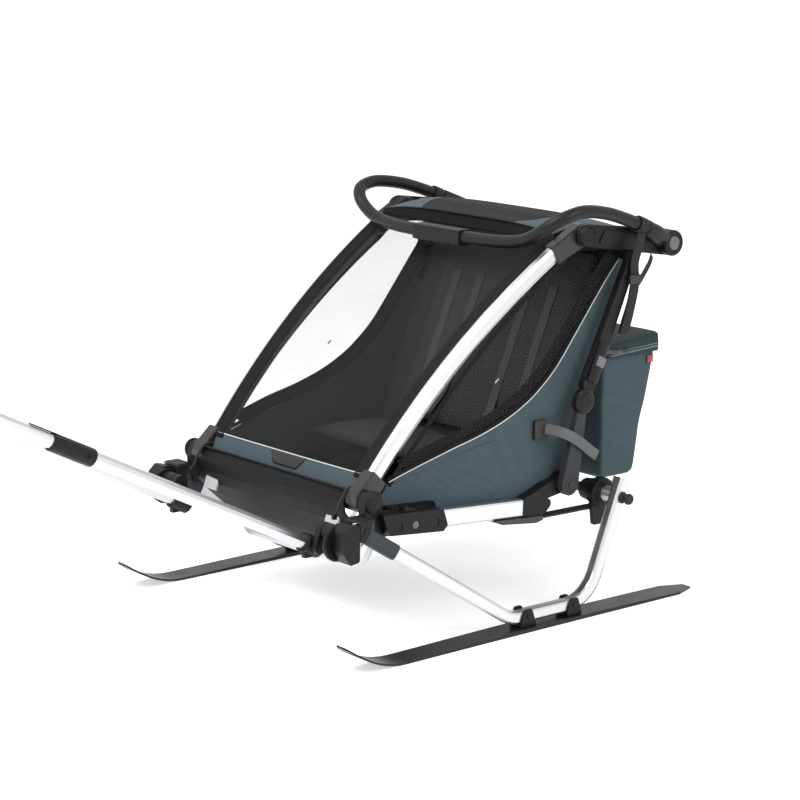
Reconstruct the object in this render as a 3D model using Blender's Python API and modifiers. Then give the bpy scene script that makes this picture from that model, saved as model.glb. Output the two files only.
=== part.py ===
"""Two-seat child trailer, set up with skis and tow poles.

Metres, +Z up. The nose points to -Y and the trailer's left side to +X. Left pieces are modelled
and the right ones are their mirror images. Heights are above the soles of the skis, and lengths
along Y are from a line a little behind the middle of the floor. The whole model hangs on one empty,
which at the end moves it so that the middle of its box, at the soles, is the origin.
"""
import math

import bmesh
import bpy
from mathutils import Matrix, Vector

# Clearances
SEAM = 0.0003            # between pieces that touch
SLIP = 0.0005            # between pieces that turn or slide on each other
CLOTH_GAP = 0.003        # between cloth and the frame beside it

# Chassis
RAIL_SPACING = 0.644     # between the centre lines of the side rails
RAIL_WIDTH = 0.026
RAIL_HEIGHT = 0.040
RAIL_CORNER = 0.005
RAIL_Z = 0.243           # centre line of the rail where y is 0
RAIL_PITCH = math.radians(3.8)
RAIL_FRONT = -0.268      # the rail's end inside the receiver
RAIL_REAR = -0.015
CROSS_TUBE_RADIUS = 0.015
CROSS_TUBE_Z = 0.152     # centre line of the low middle run
CROSS_TUBE_Y = -0.368
CROSS_TUBE_HALF_RUN = 0.206

# Receivers that hold the ski legs and the tow brackets
RECEIVER_FRONT = -0.447
RECEIVER_REAR = -0.236
RECEIVER_STEP = -0.414   # where the narrow neck becomes the full housing
RECEIVER_INNER_WALL = 0.008
RECEIVER_OUTER_WALL = 0.008
RECEIVER_NECK_WIDTH = 0.024
RECEIVER_ROOF = 0.0245   # from the rail's centre line up to the housing's top
RECEIVER_FLOOR = 0.0245
LATCH_Y = -0.338
RELEASE_BUTTON_RADIUS = 0.0095
RELEASE_BUTTON_Y = -0.324
RELEASE_BUTTON_TRAVEL = 0.004

# Fold frame: pivots in the side plane, as (y, z)
FRONT_PIVOT = (-0.426, 0.322)
ROOF_PIVOT = (0.173, 0.827)
LOWER_STRUT_PIVOT = (0.110, 0.281)
MIDDLE_PIVOT = (0.148, 0.465)
UPPER_STRUT_PIVOT = (0.294, 0.774)
HANDLE_PIVOT = (0.421, 0.790)
PIVOT_EYE_RADIUS = 0.026
PIVOT_LUG_WIDTH = 0.025
HINGE_DISC_RADIUS = 0.028
STRUT_WIDTH = 0.018      # across the trailer
STRUT_HALF_DEPTH = 0.0135
STRUT_TOP_RADIUS = 0.0125
DISC_CLEARANCE = 0.0012   # round the hinge discs, so that their facets pass each other

# Pillars: flat oval tube, bowed forward and leaning out towards the top
PILLAR_WIDTH = 0.024
PILLAR_DEPTH = 0.040
PILLAR_BOW = 0.031
PILLAR_FOOT = (-0.402, 0.343)
PILLAR_TOP = (0.112, 0.802)
PILLAR_FOOT_SPREAD = 0.554       # between the feet's centre lines
PILLAR_TOP_SPREAD = 0.608        # between the heads' centre lines
PILLAR_SOCKET_WALL = 0.002
PILLAR_SOCKET_LENGTH = 0.026
KNOB_RADIUS = 0.024
KNOB_HEIGHT = 0.010
ROOF_KNOB_HEIGHT = 0.007  # stays inside the struts as they pass

# Roof bars and handlebar
ROOF_BAR_HEIGHT = 0.050
ROOF_BAR_EYE = 0.010     # thickness beside the pillar's head
ROOF_PAD_HEIGHT = 0.030
ROOF_PAD_DEPTH = 0.003
HUB_INBOARD = 0.026
HANDLE_HUB_RADIUS = 0.0295
HANDLE_HUB_WIDTH = 0.024
HANDLE_RADIUS = 0.0145
HANDLE_BUTTON_RADIUS = 0.016
HANDLE_BUTTON_TRAVEL = 0.004
HANDLE_BLOCK_LENGTH = 0.160
HANDLE_BLOCK_WALL = 0.004

# Skis, their legs and brackets
SKI_STANCE = 0.812       # between the middles of the skis
SKI_TIP_Y = -0.580
SKI_TIP_Z = 0.058
SKI_CONTACT_FRONT = -0.430
SKI_TAIL_Y = 0.430
SKI_HALF_WIDTH = 0.033
SKI_WAIST = 0.0025       # how much narrower each side is in the middle
SKI_MIDDLE_THICKNESS = 0.009
SKI_END_THICKNESS = 0.004
LEG_SIZE = 0.028         # square tube
LEG_CORNER = 0.006
LEG_FOOT_HEIGHT = 0.030  # centre of the tube over the ski
LEG_FRONT_BEND_Y = -0.115
LEG_REAR_BEND_Y = 0.112
LEG_FRONT_BEND_RADIUS = 0.060
LEG_REAR_BEND_RADIUS = 0.090
LEG_TOP = (0.216, 0.287)
LEG_CAP_WALL = 0.002
LEG_CAP_HEIGHT = 0.012
SOCKET_START = (0.343, -0.478, 0.272)
SOCKET_LENGTH = 0.098
SOCKET_WALL = 0.003
BRACKET_POSITIONS = (-0.076, 0.060)
BRACKET_LENGTH = 0.042
BRACKET_EAR = 0.005
BRACKET_HEIGHT = 0.038

# Axle, hubs, leaf springs and release knobs
AXLE_Y = 0.205
AXLE_Z = 0.250
AXLE_RADIUS = 0.011
HUB_RADIUS = 0.034
HUB_OUTER = 0.370
HUB_TONGUE_Z = 0.175
HUB_FLOOR = 0.006        # wall between the axle tube and the pin's bore
PIN_RADIUS = 0.006
RELEASE_KNOB_RADIUS = 0.013
RELEASE_KNOB_LENGTH = 0.026
RELEASE_KNOB_TRAVEL = 0.006
LEAF_THICKNESS = 0.0035
LEAF_WIDTH = 0.032
SHOE_FRONT = -0.100
SHOE_REAR = 0.040

# Tow brackets, clamps and poles
TOW_AXIS = (-0.508, 0.264)       # the barrel that the clamp turns on, (y, z)
TOW_BARREL_RADIUS = 0.019
TOW_FLANGE_RADIUS = 0.041
TOW_FLANGE_DROP = 0.015
POLE_SPACING = 0.480
POLE_RADIUS = 0.015
POLE_RISE = math.radians(26.7)
POLE_START = (-0.526, 0.231)     # (y, z) of the centre line inside the clamp
POLE_REAR_LENGTH = 0.640
POLE_FRONT_LENGTH = 1.000
POLE_SLEEVE_LENGTH = 0.104
POLE_SLEEVE_WALL = 0.0035
POLE_SLEEVE_WEB = 0.004
POLE_TONGUE_LENGTH = 0.055
POLE_END_RADIUS = 0.016
CLAMP_WALL = 0.007
CLAMP_LENGTH = 0.046

# Bumper and reflectors
BUMPER_TOP_HALF = 0.284
BUMPER_BOTTOM_HALF = 0.203
BUMPER_WALL = 0.004
BUMPER_BOW = 0.006
REFLECTOR_X = 0.220
REFLECTOR_WIDTH = 0.046
REFLECTOR_HEIGHT = 0.052
REFLECTOR_DEPTH = 0.008

# Cabin
CLOTH = 0.003
SIDE_CLOTH_BULGE = 0.004
ROOF_CROWN = 0.018
ROOF_FRONT = (0.112, 0.846)
ROOF_REAR = (0.402, 0.800)
FLOOR_FRONT = -0.352
FLOOR_REAR = 0.092
FLOOR_Z = 0.236
FLOOR_WALL = 0.004
FLOOR_RIM = 0.030
SEAT_FRONT = -0.155
SEAT_REAR = 0.070
SEAT_Z = 0.345
SEAT_HALF_WIDTH = 0.262
SEAT_THICKNESS = 0.026
SEAT_CROWN = 0.012
BACKREST_FOOT = (0.098, 0.330)
BACKREST_TOP = (0.292, 0.775)
BACKREST_HALF_WIDTH = 0.264
BACKREST_THICKNESS = 0.014
BACKREST_CROWN = 0.012

# Cargo bag
BAG_HALF_WIDTH = 0.2325
BAG_WALL = 0.005
BAG_FRONT_Y = 0.322
BAG_TOP_Z = 0.532
LID_FRONT_Z = 0.548
LID_REAR_Z = 0.566
LID_WALL = 0.005

# Places that several pieces share
RAIL_X = RAIL_SPACING / 2
INNER = RAIL_X - RAIL_WIDTH / 2
OUTER = RAIL_X + RAIL_WIDTH / 2
SKI_X = SKI_STANCE / 2
POLE_X = POLE_SPACING / 2
SOCKET_HALF = PILLAR_WIDTH / 2 + PILLAR_SOCKET_WALL
FRONT_SPLIT = PILLAR_FOOT_SPREAD / 2 + 0.0225    # the pillar's eye ends and the receiver's lug begins
ROOF_SPLIT = PILLAR_TOP_SPREAD / 2 + SOCKET_HALF  # the pillar's head ends and the roof bar begins
ROOF_BAR_OUTER = ROOF_SPLIT + ROOF_BAR_EYE
RECEIVER_INNER = INNER - RECEIVER_INNER_WALL
RECEIVER_OUTER = OUTER + RECEIVER_OUTER_WALL


def rail_z(y):
    """Height of the side rail's centre line at a place along the trailer."""
    return RAIL_Z - math.tan(RAIL_PITCH) * y


def srgb(red, green, blue):
    """A colour read as 0 to 255 display values, as linear light."""
    def linear(value):
        share = value / 255
        return share / 12.92 if share <= 0.04045 else ((share + 0.055) / 1.055) ** 2.4
    return linear(red), linear(green), linear(blue), 1.0


ALUMINIUM = (srgb(205, 206, 208), 0.32, 1.0)
BLACK_PLASTIC = (srgb(38, 38, 40), 0.48, 0.0)
BLACK_PAINT = (srgb(32, 32, 33), 0.42, 0.1)
GREY_PLASTIC = (srgb(76, 82, 88), 0.50, 0.0)
SLATE_CLOTH = (srgb(80, 97, 105), 0.85, 0.0)
DARK_CLOTH = (srgb(48, 48, 50), 0.85, 0.0)
CLEAR_LENS = (srgb(225, 225, 228), 0.12, 0.0)
BLACK_SKI = (srgb(30, 30, 32), 0.30, 0.0)
STEEL = (srgb(190, 190, 192), 0.30, 1.0)
BUTTON_GREY = (srgb(92, 95, 99), 0.45, 0.0)

for stale in list(bpy.data.objects):
    bpy.data.objects.remove(stale, do_unlink=True)

trailer = bpy.data.collections.new("child_bike_trailer")
guides = bpy.data.collections.new("guides")
bpy.context.scene.collection.children.link(trailer)
bpy.context.scene.collection.children.link(guides)

root = bpy.data.objects.new("trailer_root", None)
trailer.objects.link(root)


# Outlines and paths

def arc(centre, radius, start, end, steps):
    """Points of an arc in a plane, from one angle in degrees to another."""
    points = []
    for step in range(steps + 1):
        angle = math.radians(start + (end - start) * step / steps)
        points.append((centre[0] + radius * math.cos(angle), centre[1] + radius * math.sin(angle)))
    return points


def rounded(corners, radius, steps=3):
    """A closed outline with every corner rounded; a corner may carry its own radius."""
    outline = []
    count = len(corners)
    for index, corner in enumerate(corners):
        here = Vector(corner[:2])
        before = (Vector(corners[index - 1][:2]) - here).normalized()
        after = (Vector(corners[(index + 1) % count][:2]) - here).normalized()
        bend = corner[2] if len(corner) > 2 else radius
        if bend <= 0:
            outline.append(tuple(here))
            continue
        half = before.angle(after) / 2
        reach = bend / math.tan(half)
        centre = here + (before + after).normalized() * (bend / math.sin(half))
        first = here + before * reach - centre
        last = here + after * reach - centre
        turn = math.atan2(first.cross(last), first.dot(last))
        for step in range(steps + 1):
            swing = Matrix.Rotation(turn * step / steps, 2)
            outline.append(tuple(centre + swing @ first))
    return outline


def capsule(start, end, start_radius, end_radius, steps=8):
    """The outline round two circles and their outer tangents."""
    first = Vector(start)
    last = Vector(end)
    along = last - first
    heading = math.degrees(math.atan2(along.y, along.x))
    lean = math.degrees(math.acos((start_radius - end_radius) / along.length))
    return (arc(start, start_radius, heading + lean, heading + 360 - lean, steps)
            + arc(end, end_radius, heading - lean, heading + lean, steps))


def filleted(points, radii, steps=5):
    """A path in space with each inner corner rounded to its radius."""
    path = [Vector(points[0])]
    for index in range(1, len(points) - 1):
        here = Vector(points[index])
        before = (Vector(points[index - 1]) - here).normalized()
        after = (Vector(points[index + 1]) - here).normalized()
        half = before.angle(after) / 2
        reach = radii[index - 1] / math.tan(half)
        centre = here + (before + after).normalized() * (radii[index - 1] / math.sin(half))
        first = here + before * reach - centre
        axis = before.cross(after).normalized()
        turn = -(math.pi - 2 * half)
        for step in range(steps + 1):
            path.append(centre + Matrix.Rotation(turn * step / steps, 3, axis) @ first)
    path.append(Vector(points[-1]))
    return path


def smooth_path(points, steps=4):
    """A smooth curve through every point, by the Catmull-Rom rule."""
    knots = [Vector(point) for point in points]
    ends = [2 * knots[0] - knots[1]] + knots + [2 * knots[-1] - knots[-2]]
    path = []
    for index in range(1, len(ends) - 2):
        p0, p1, p2, p3 = ends[index - 1:index + 3]
        for step in range(steps):
            t = step / steps
            path.append(0.5 * (2 * p1 + (p2 - p0) * t + (2 * p0 - 5 * p1 + 4 * p2 - p3) * t * t
                               + (3 * p1 - p0 - 3 * p2 + p3) * t * t * t))
    path.append(knots[-1])
    return path


def ramp(low, high, value):
    """Rises smoothly from 0 at the low value to 1 at the high one."""
    share = min(1.0, max(0.0, (value - low) / (high - low)))
    return share * share * (3 - 2 * share)


def mix(first, last, share):
    """The value at a share of the way from the first to the last."""
    return first + (last - first) * share


# Solids

def baked(source):
    """A plain closed mesh, in world places, instead of a curve or a modified object."""
    bpy.context.view_layer.update()
    graph = bpy.context.evaluated_depsgraph_get()
    mesh = bpy.data.meshes.new_from_object(source.evaluated_get(graph))
    mesh.transform(source.matrix_world)
    shape = bmesh.new()
    shape.from_mesh(mesh)
    bmesh.ops.remove_doubles(shape, verts=shape.verts, dist=0.000005)
    bmesh.ops.recalc_face_normals(shape, faces=shape.faces)
    shape.to_mesh(mesh)
    shape.free()
    solid = bpy.data.objects.new("solid", mesh)
    trailer.objects.link(solid)
    bpy.data.objects.remove(source, do_unlink=True)
    return solid


def bevelled(solid, width, segments=1, angle=40):
    """Breaks the sharp edges of a solid."""
    bevel = solid.modifiers.new("edges", "BEVEL")
    bevel.width = width
    bevel.segments = segments
    bevel.limit_method = "ANGLE"
    bevel.angle_limit = math.radians(angle)
    return baked(solid)


AXES = {
    "X": Matrix(((0, 0, 1), (1, 0, 0), (0, 1, 0))),
    "Y": Matrix(((1, 0, 0), (0, 0, -1), (0, 1, 0))),
    "Z": Matrix.Identity(3),
}


def slab(outline, low, high, edge=0.0, across="X", segments=1):
    """A flat outline, filled and extruded between two planes across an axis.

    Across X the outline holds (y, z) points, across Y (x, z) points and across Z (x, y) points.
    """
    curve = bpy.data.curves.new("outline", "CURVE")
    curve.dimensions = "2D"
    curve.fill_mode = "BOTH"
    curve.extrude = (high - low) / 2
    spline = curve.splines.new("POLY")
    spline.points.add(len(outline) - 1)
    for point, place in zip(spline.points, outline):
        point.co = (place[0], place[1], 0, 1)
    spline.use_cyclic_u = True
    flat = bpy.data.objects.new("outline", curve)
    trailer.objects.link(flat)
    middle = (high + low) / 2
    offset = {"X": (middle, 0, 0), "Y": (0, middle, 0), "Z": (0, 0, middle)}[across]
    flat.matrix_world = Matrix.Translation(offset) @ AXES[across].to_4x4()
    solid = baked(flat)
    return bevelled(solid, edge, segments) if edge > 0 else solid


def block(low, high, edge=0.0):
    """A box between two corners."""
    bpy.ops.mesh.primitive_cube_add(size=1)
    cube = bpy.context.object
    for owner in list(cube.users_collection):
        owner.objects.unlink(cube)
    trailer.objects.link(cube)
    size = [b - a for a, b in zip(low, high)]
    middle = [(a + b) / 2 for a, b in zip(low, high)]
    cube.data.transform(Matrix.Translation(middle) @ Matrix.Diagonal((*size, 1)))
    return bevelled(cube, edge) if edge > 0 else baked(cube)


def frame_along(start, direction):
    """The placement whose own Z runs along a direction from a point."""
    return Matrix.Translation(start) @ Vector(direction).to_track_quat("Z", "Y").to_matrix().to_4x4()


def turned(profile, start, direction, steps=18):
    """A turned piece: (radius, height) points down its outer side, then back inside for a bore."""
    mesh = bpy.data.meshes.new("profile")
    corners = [(radius, 0, height) for radius, height in profile]
    links = [(index, index + 1) for index in range(len(corners) - 1)]
    mesh.from_pydata(corners, links, [])
    piece = bpy.data.objects.new("profile", mesh)
    trailer.objects.link(piece)
    screw = piece.modifiers.new("turn", "SCREW")
    screw.steps = steps
    screw.render_steps = steps
    screw.use_merge_vertices = True
    screw.merge_threshold = 0.00001
    piece.matrix_world = frame_along(start, direction)
    return baked(piece)


def tube(points, radius, resolution=3):
    """A round rod or tube along a path, with filled ends."""
    curve = bpy.data.curves.new("tube", "CURVE")
    curve.dimensions = "3D"
    curve.bevel_depth = radius
    curve.bevel_resolution = resolution
    curve.use_fill_caps = True
    spline = curve.splines.new("POLY")
    spline.points.add(len(points) - 1)
    for point, place in zip(spline.points, points):
        point.co = (*place, 1)
    rod = bpy.data.objects.new("tube", curve)
    trailer.objects.link(rod)
    return baked(rod)


def sweep(points, width, depth, corner, steps=2):
    """A tube of rounded oblong section along a path: width runs level, depth runs upright."""
    half_w, half_d = width / 2, depth / 2
    section = rounded([(-half_w, -half_d), (half_w, -half_d), (half_w, half_d), (-half_w, half_d)],
                      corner, steps)
    profile = bpy.data.curves.new("section", "CURVE")
    profile.dimensions = "2D"
    ring = profile.splines.new("POLY")
    ring.points.add(len(section) - 1)
    for point, place in zip(ring.points, section):
        point.co = (place[0], place[1], 0, 1)
    ring.use_cyclic_u = True
    guide = bpy.data.objects.new("section", profile)
    guides.objects.link(guide)
    guide.hide_render = True
    guide.display_type = "WIRE"
    curve = bpy.data.curves.new("sweep", "CURVE")
    curve.dimensions = "3D"
    curve.twist_mode = "Z_UP"
    curve.bevel_mode = "OBJECT"
    curve.bevel_object = guide
    curve.use_fill_caps = True
    spline = curve.splines.new("POLY")
    spline.points.add(len(points) - 1)
    for point, place in zip(spline.points, points):
        point.co = (*place, 1)
    rail = bpy.data.objects.new("sweep", curve)
    trailer.objects.link(rail)
    solid = baked(rail)
    bpy.data.objects.remove(guide, do_unlink=True)
    return solid


def sheet(rows, thickness, offset=0.0):
    """A shell lofted through rows of points and given its thickness."""
    shape = bmesh.new()
    grid = [[shape.verts.new(point) for point in row] for row in rows]
    for upper, lower in zip(grid, grid[1:]):
        for index in range(len(upper) - 1):
            shape.faces.new((upper[index], upper[index + 1], lower[index + 1], lower[index]))
    mesh = bpy.data.meshes.new("sheet")
    shape.to_mesh(mesh)
    shape.free()
    piece = bpy.data.objects.new("sheet", mesh)
    trailer.objects.link(piece)
    solidify = piece.modifiers.new("thickness", "SOLIDIFY")
    solidify.thickness = thickness
    solidify.offset = offset
    return baked(piece)


def combined(solid, other, operation):
    """The solid after one Boolean step with another, which is used up."""
    step = solid.modifiers.new("combine", "BOOLEAN")
    step.operation = operation
    step.solver = "EXACT"
    step.object = other
    result = baked(solid)
    bpy.data.objects.remove(other, do_unlink=True)
    return result


def joined(*solids):
    """One solid out of solids that run into each other."""
    result = solids[0]
    for other in solids[1:]:
        result = combined(result, other, "UNION")
    return result


def cut(solid, *cutters):
    """A solid with each cutter taken away."""
    for cutter in cutters:
        solid = combined(solid, cutter, "DIFFERENCE")
    return solid


def finish(solid, name, look, pivot=(0, 0, 0), smooth=True):
    """Names a solid, gives it its own material and puts its origin on its pivot."""
    colour, roughness, metallic = look
    solid.name = name
    solid.data.name = name
    solid.data.transform(Matrix.Translation(-Vector(pivot)))
    solid.location = pivot
    solid.parent = root
    if smooth:
        solid.data.shade_smooth()
        solid.data.set_sharp_from_angle(angle=math.radians(35))
    material = bpy.data.materials.new(name)
    material.use_nodes = True
    shader = material.node_tree.nodes["Principled BSDF"]
    shader.inputs["Base Color"].default_value = colour
    shader.inputs["Roughness"].default_value = roughness
    shader.inputs["Metallic"].default_value = metallic
    material.diffuse_color = colour
    solid.data.materials.clear()
    solid.data.materials.append(material)
    return solid


def right_copy(left, look):
    """The mirror image of a left piece, as its own object."""
    mesh = left.data.copy()
    mesh.transform(Matrix.Diagonal((-1, 1, 1, 1)))
    mesh.flip_normals()
    copy = bpy.data.objects.new("copy", mesh)
    trailer.objects.link(copy)
    pivot = (-left.location.x, left.location.y, left.location.z)
    mesh.transform(Matrix.Translation(pivot))
    return finish(copy, left.name.replace("_left", "_right"), look, pivot)


def both_sides(solid, name, look, pivot=(0, 0, 0)):
    """The left piece and its mirror image."""
    left = finish(solid, name + "_left", look, pivot)
    right_copy(left, look)


def side_point(place, x):
    """A point of the side plane, (y, z), at a distance across."""
    return x, place[0], place[1]


# Chassis

def side_rail():
    """Rounded oblong tube, falling slightly to the rear."""
    ends = [(RAIL_X, y, rail_z(y)) for y in (RAIL_FRONT, RAIL_REAR)]
    return sweep(ends, RAIL_WIDTH, RAIL_HEIGHT, RAIL_CORNER)


def receiver():
    """Housing round the rail's front end, with the pillar's lug and the release pocket."""
    top_step = rail_z(RECEIVER_STEP) + RECEIVER_ROOF
    top_rear = rail_z(RECEIVER_REAR) + RECEIVER_ROOF
    low_step = rail_z(RECEIVER_STEP) - RECEIVER_FLOOR
    low_rear = rail_z(RECEIVER_REAR) - RECEIVER_FLOOR
    housing = rounded([
        (RECEIVER_STEP + 0.018, low_step + 0.002, 0.004),
        (RECEIVER_REAR - 0.012, low_rear, 0.008),
        (RECEIVER_REAR, low_rear + 0.012, 0.004),
        (RECEIVER_REAR - 0.012, top_rear, 0.004),
        (RECEIVER_STEP, top_step, 0.004),
    ], 0.004)
    body = slab(housing, RECEIVER_INNER, RECEIVER_OUTER, 0.0035)
    neck_outer = RECEIVER_INNER + RECEIVER_NECK_WIDTH
    neck = slab(rounded([
        (RECEIVER_FRONT, low_step + 0.002), (RECEIVER_STEP + 0.05, low_step + 0.004),
        (RECEIVER_STEP + 0.05, top_step - 0.002), (RECEIVER_FRONT, top_step),
    ], 0.003), RECEIVER_INNER + 0.0015, neck_outer, 0.002)
    lug = slab(capsule(FRONT_PIVOT, (FRONT_PIVOT[0] + 0.006, top_step - 0.018),
                       PIVOT_EYE_RADIUS - 0.004, PIVOT_EYE_RADIUS, 8),
               FRONT_SPLIT + SLIP, FRONT_SPLIT + PIVOT_LUG_WIDTH, 0.0015)
    cap = turned([(0, KNOB_HEIGHT), (KNOB_RADIUS - 0.008, KNOB_HEIGHT),
                  (KNOB_RADIUS - 0.002, KNOB_HEIGHT - 0.0025), (KNOB_RADIUS, KNOB_HEIGHT - 0.006),
                  (KNOB_RADIUS, -0.003), (0, -0.003)],
                 side_point(FRONT_PIVOT, FRONT_SPLIT + PIVOT_LUG_WIDTH), (1, 0, 0), 18)
    latch_top = rail_z(LATCH_Y) + RECEIVER_ROOF
    latch = slab(rounded([(LATCH_Y - 0.014, latch_top - 0.006), (LATCH_Y + 0.022, latch_top - 0.008),
                          (LATCH_Y + 0.018, latch_top + 0.003), (LATCH_Y - 0.009, latch_top + 0.012)],
                         0.002), RAIL_X - 0.005, RAIL_X + 0.013)
    body = joined(body, neck, lug, cap, latch)
    pocket_half_w = RAIL_WIDTH / 2 + SEAM
    pocket = sweep([(RAIL_X, RAIL_FRONT - SEAM, rail_z(RAIL_FRONT)),
                    (RAIL_X, RECEIVER_REAR + 0.02, rail_z(RECEIVER_REAR + 0.02))],
                   2 * pocket_half_w, RAIL_HEIGHT + 2 * SEAM, RAIL_CORNER)
    spigot_hole = block((spigot_low()[0] - SEAM, RECEIVER_FRONT - 0.01, spigot_low()[2] - SEAM),
                        (spigot_high()[0] + SEAM, spigot_high()[1] + SEAM, spigot_high()[2] + SEAM))
    button_hole = turned([(0, RELEASE_BUTTON_TRAVEL * 4), (RELEASE_BUTTON_RADIUS + SLIP, 0.016),
                          (RELEASE_BUTTON_RADIUS + SLIP, 0), (0, 0)],
                         (RECEIVER_OUTER - 0.0125, RELEASE_BUTTON_Y, receiver_middle()), (1, 0, 0), 16)
    body = cut(body, pocket, spigot_hole, button_hole)
    for y in (-0.372, -0.272):
        body = cut(body, hook_recess(y))
    return body


def receiver_middle():
    """Height of the housing's middle line at the release button."""
    return rail_z(RELEASE_BUTTON_Y) - 0.004


def spigot_low():
    """Lower corner of the leg socket's spigot inside the receiver's neck."""
    return (RECEIVER_INNER + 0.006, SOCKET_START[1], rail_z(RECEIVER_FRONT) - 0.013)


def spigot_high():
    """Upper corner of the spigot."""
    return (RECEIVER_INNER + 0.019, RECEIVER_STEP + 0.006, rail_z(RECEIVER_FRONT) + 0.013)


def hook_recess(y):
    """Shallow L-shaped recess in the housing's outer face."""
    z = rail_z(y) - 0.004
    shape = [(y - 0.011, z - 0.0095), (y + 0.011, z - 0.0095), (y + 0.011, z + 0.0075),
             (y + 0.006, z + 0.0075), (y + 0.006, z - 0.0055), (y - 0.011, z - 0.0055)]
    return slab(shape, RECEIVER_OUTER - 0.0015, RECEIVER_OUTER + 0.01)


def release_button():
    """Push button in the receiver's pocket."""
    height = 0.0075
    return turned([(0, height), (RELEASE_BUTTON_RADIUS - 0.0015, height),
                   (RELEASE_BUTTON_RADIUS, height - 0.0015), (RELEASE_BUTTON_RADIUS, 0), (0, 0)],
                  (RECEIVER_OUTER - 0.0080, RELEASE_BUTTON_Y, receiver_middle()), (1, 0, 0), 16)


def rear_corner():
    """Casting that carries on from the rail and curves up to the strut's hinge."""
    half = RAIL_HEIGHT / 2
    joint = Vector((RAIL_REAR + SEAM, rail_z(RAIL_REAR)))
    upward = Vector((math.sin(RAIL_PITCH), math.cos(RAIL_PITCH))) * half
    low_bend = (LOWER_STRUT_PIVOT[0] - 0.062, rail_z(LOWER_STRUT_PIVOT[0] - 0.062) - half, 0.020)
    shape = (rounded([(*(joint + upward), 0), (*(joint - upward), 0), low_bend,
                      (LOWER_STRUT_PIVOT[0] - 0.023, LOWER_STRUT_PIVOT[1] - 0.029, 0.012)], 0, 4)[:12]
             + arc(LOWER_STRUT_PIVOT, HINGE_DISC_RADIUS - 0.0035, -38, 150, 10)
             + [(LOWER_STRUT_PIVOT[0] - 0.054, LOWER_STRUT_PIVOT[1] + 0.007),
                (LOWER_STRUT_PIVOT[0] - 0.094, LOWER_STRUT_PIVOT[1] - 0.008)])
    return slab(shape, INNER, OUTER, 0.003)


def front_cross_tube():
    """Tube that dips under the bumper and rises at both ends to the receivers."""
    end_z = rail_z(CROSS_TUBE_Y)
    left = [(RECEIVER_INNER - SEAM, CROSS_TUBE_Y, end_z), (RECEIVER_INNER - 0.032, CROSS_TUBE_Y, end_z),
            (CROSS_TUBE_HALF_RUN, CROSS_TUBE_Y, CROSS_TUBE_Z)]
    path = filleted(left + [(-x, y, z) for x, y, z in reversed(left)], [0.028, 0.060, 0.060, 0.028], 5)
    return tube(path, CROSS_TUBE_RADIUS, 2)


def floor_pan():
    """Shallow tray of stiff cloth between the rails, with a rim that hangs on them."""
    half = RECEIVER_INNER - 0.006
    slope = math.tan(RAIL_PITCH)
    tray = slab([(FLOOR_FRONT, FLOOR_Z - slope * FLOOR_FRONT),
                 (FLOOR_REAR, FLOOR_Z - slope * FLOOR_REAR),
                 (FLOOR_REAR, FLOOR_Z - slope * FLOOR_REAR + FLOOR_RIM),
                 (FLOOR_FRONT, FLOOR_Z - slope * FLOOR_FRONT + FLOOR_RIM)],
                -half, half, 0.004)
    hollow = slab([(FLOOR_FRONT + FLOOR_WALL, FLOOR_Z - slope * FLOOR_FRONT + FLOOR_WALL),
                   (FLOOR_REAR - FLOOR_WALL, FLOOR_Z - slope * FLOOR_REAR + FLOOR_WALL),
                   (FLOOR_REAR - FLOOR_WALL, FLOOR_Z + 2 * FLOOR_RIM),
                   (FLOOR_FRONT + FLOOR_WALL, FLOOR_Z + 3 * FLOOR_RIM)],
                  FLOOR_WALL - half, half - FLOOR_WALL, 0.003)
    return cut(tray, hollow)


def bumper_profile():
    """The bumper's outer line in the side plane, top to bottom, as (y, z)."""
    knots = [(-0.441, 0.334, 0), (-0.458, 0.313, 0), (-0.451, 0.268, 0), (-0.423, 0.216, 0),
             (-0.398, 0.188, 0)]
    return [(point.x, point.y) for point in smooth_path(knots, 2)]


def front_bumper():
    """Moulded panel under the front cover, narrower at its foot, with reflector seats."""
    rows = []
    line = bumper_profile()
    for index, (y, z) in enumerate(line):
        half = mix(BUMPER_BOTTOM_HALF, BUMPER_TOP_HALF, ramp(0.185, 0.27, z))
        half = mix(half, pillar_x(0) - SOCKET_HALF - CLOTH_GAP, ramp(0.275, 0.296, z))
        row = []
        for step in range(9):
            share = -1 + step / 4
            row.append((share * half, y + BUMPER_BOW * share * share, z))
        rows.append(row)
    panel = sheet(rows, BUMPER_WALL)
    for side in (-1, 1):
        panel = cut(panel, reflector_body(side, SEAM))
    return panel


def reflector_body(side, grow=0.0):
    """Block that leans with the bumper; grown it cuts the seat."""
    tilt = Matrix.Rotation(math.radians(-20), 4, "X")
    half_w = REFLECTOR_WIDTH / 2 + grow
    half_h = REFLECTOR_HEIGHT / 2 + grow
    solid = block((-half_w, -REFLECTOR_DEPTH / 2 - grow, -half_h),
                  (half_w, REFLECTOR_DEPTH / 2 + grow, half_h), 0.002)
    solid.data.transform(Matrix.Translation((side * REFLECTOR_X, -0.4475, 0.276)) @ tilt)
    return solid


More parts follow.
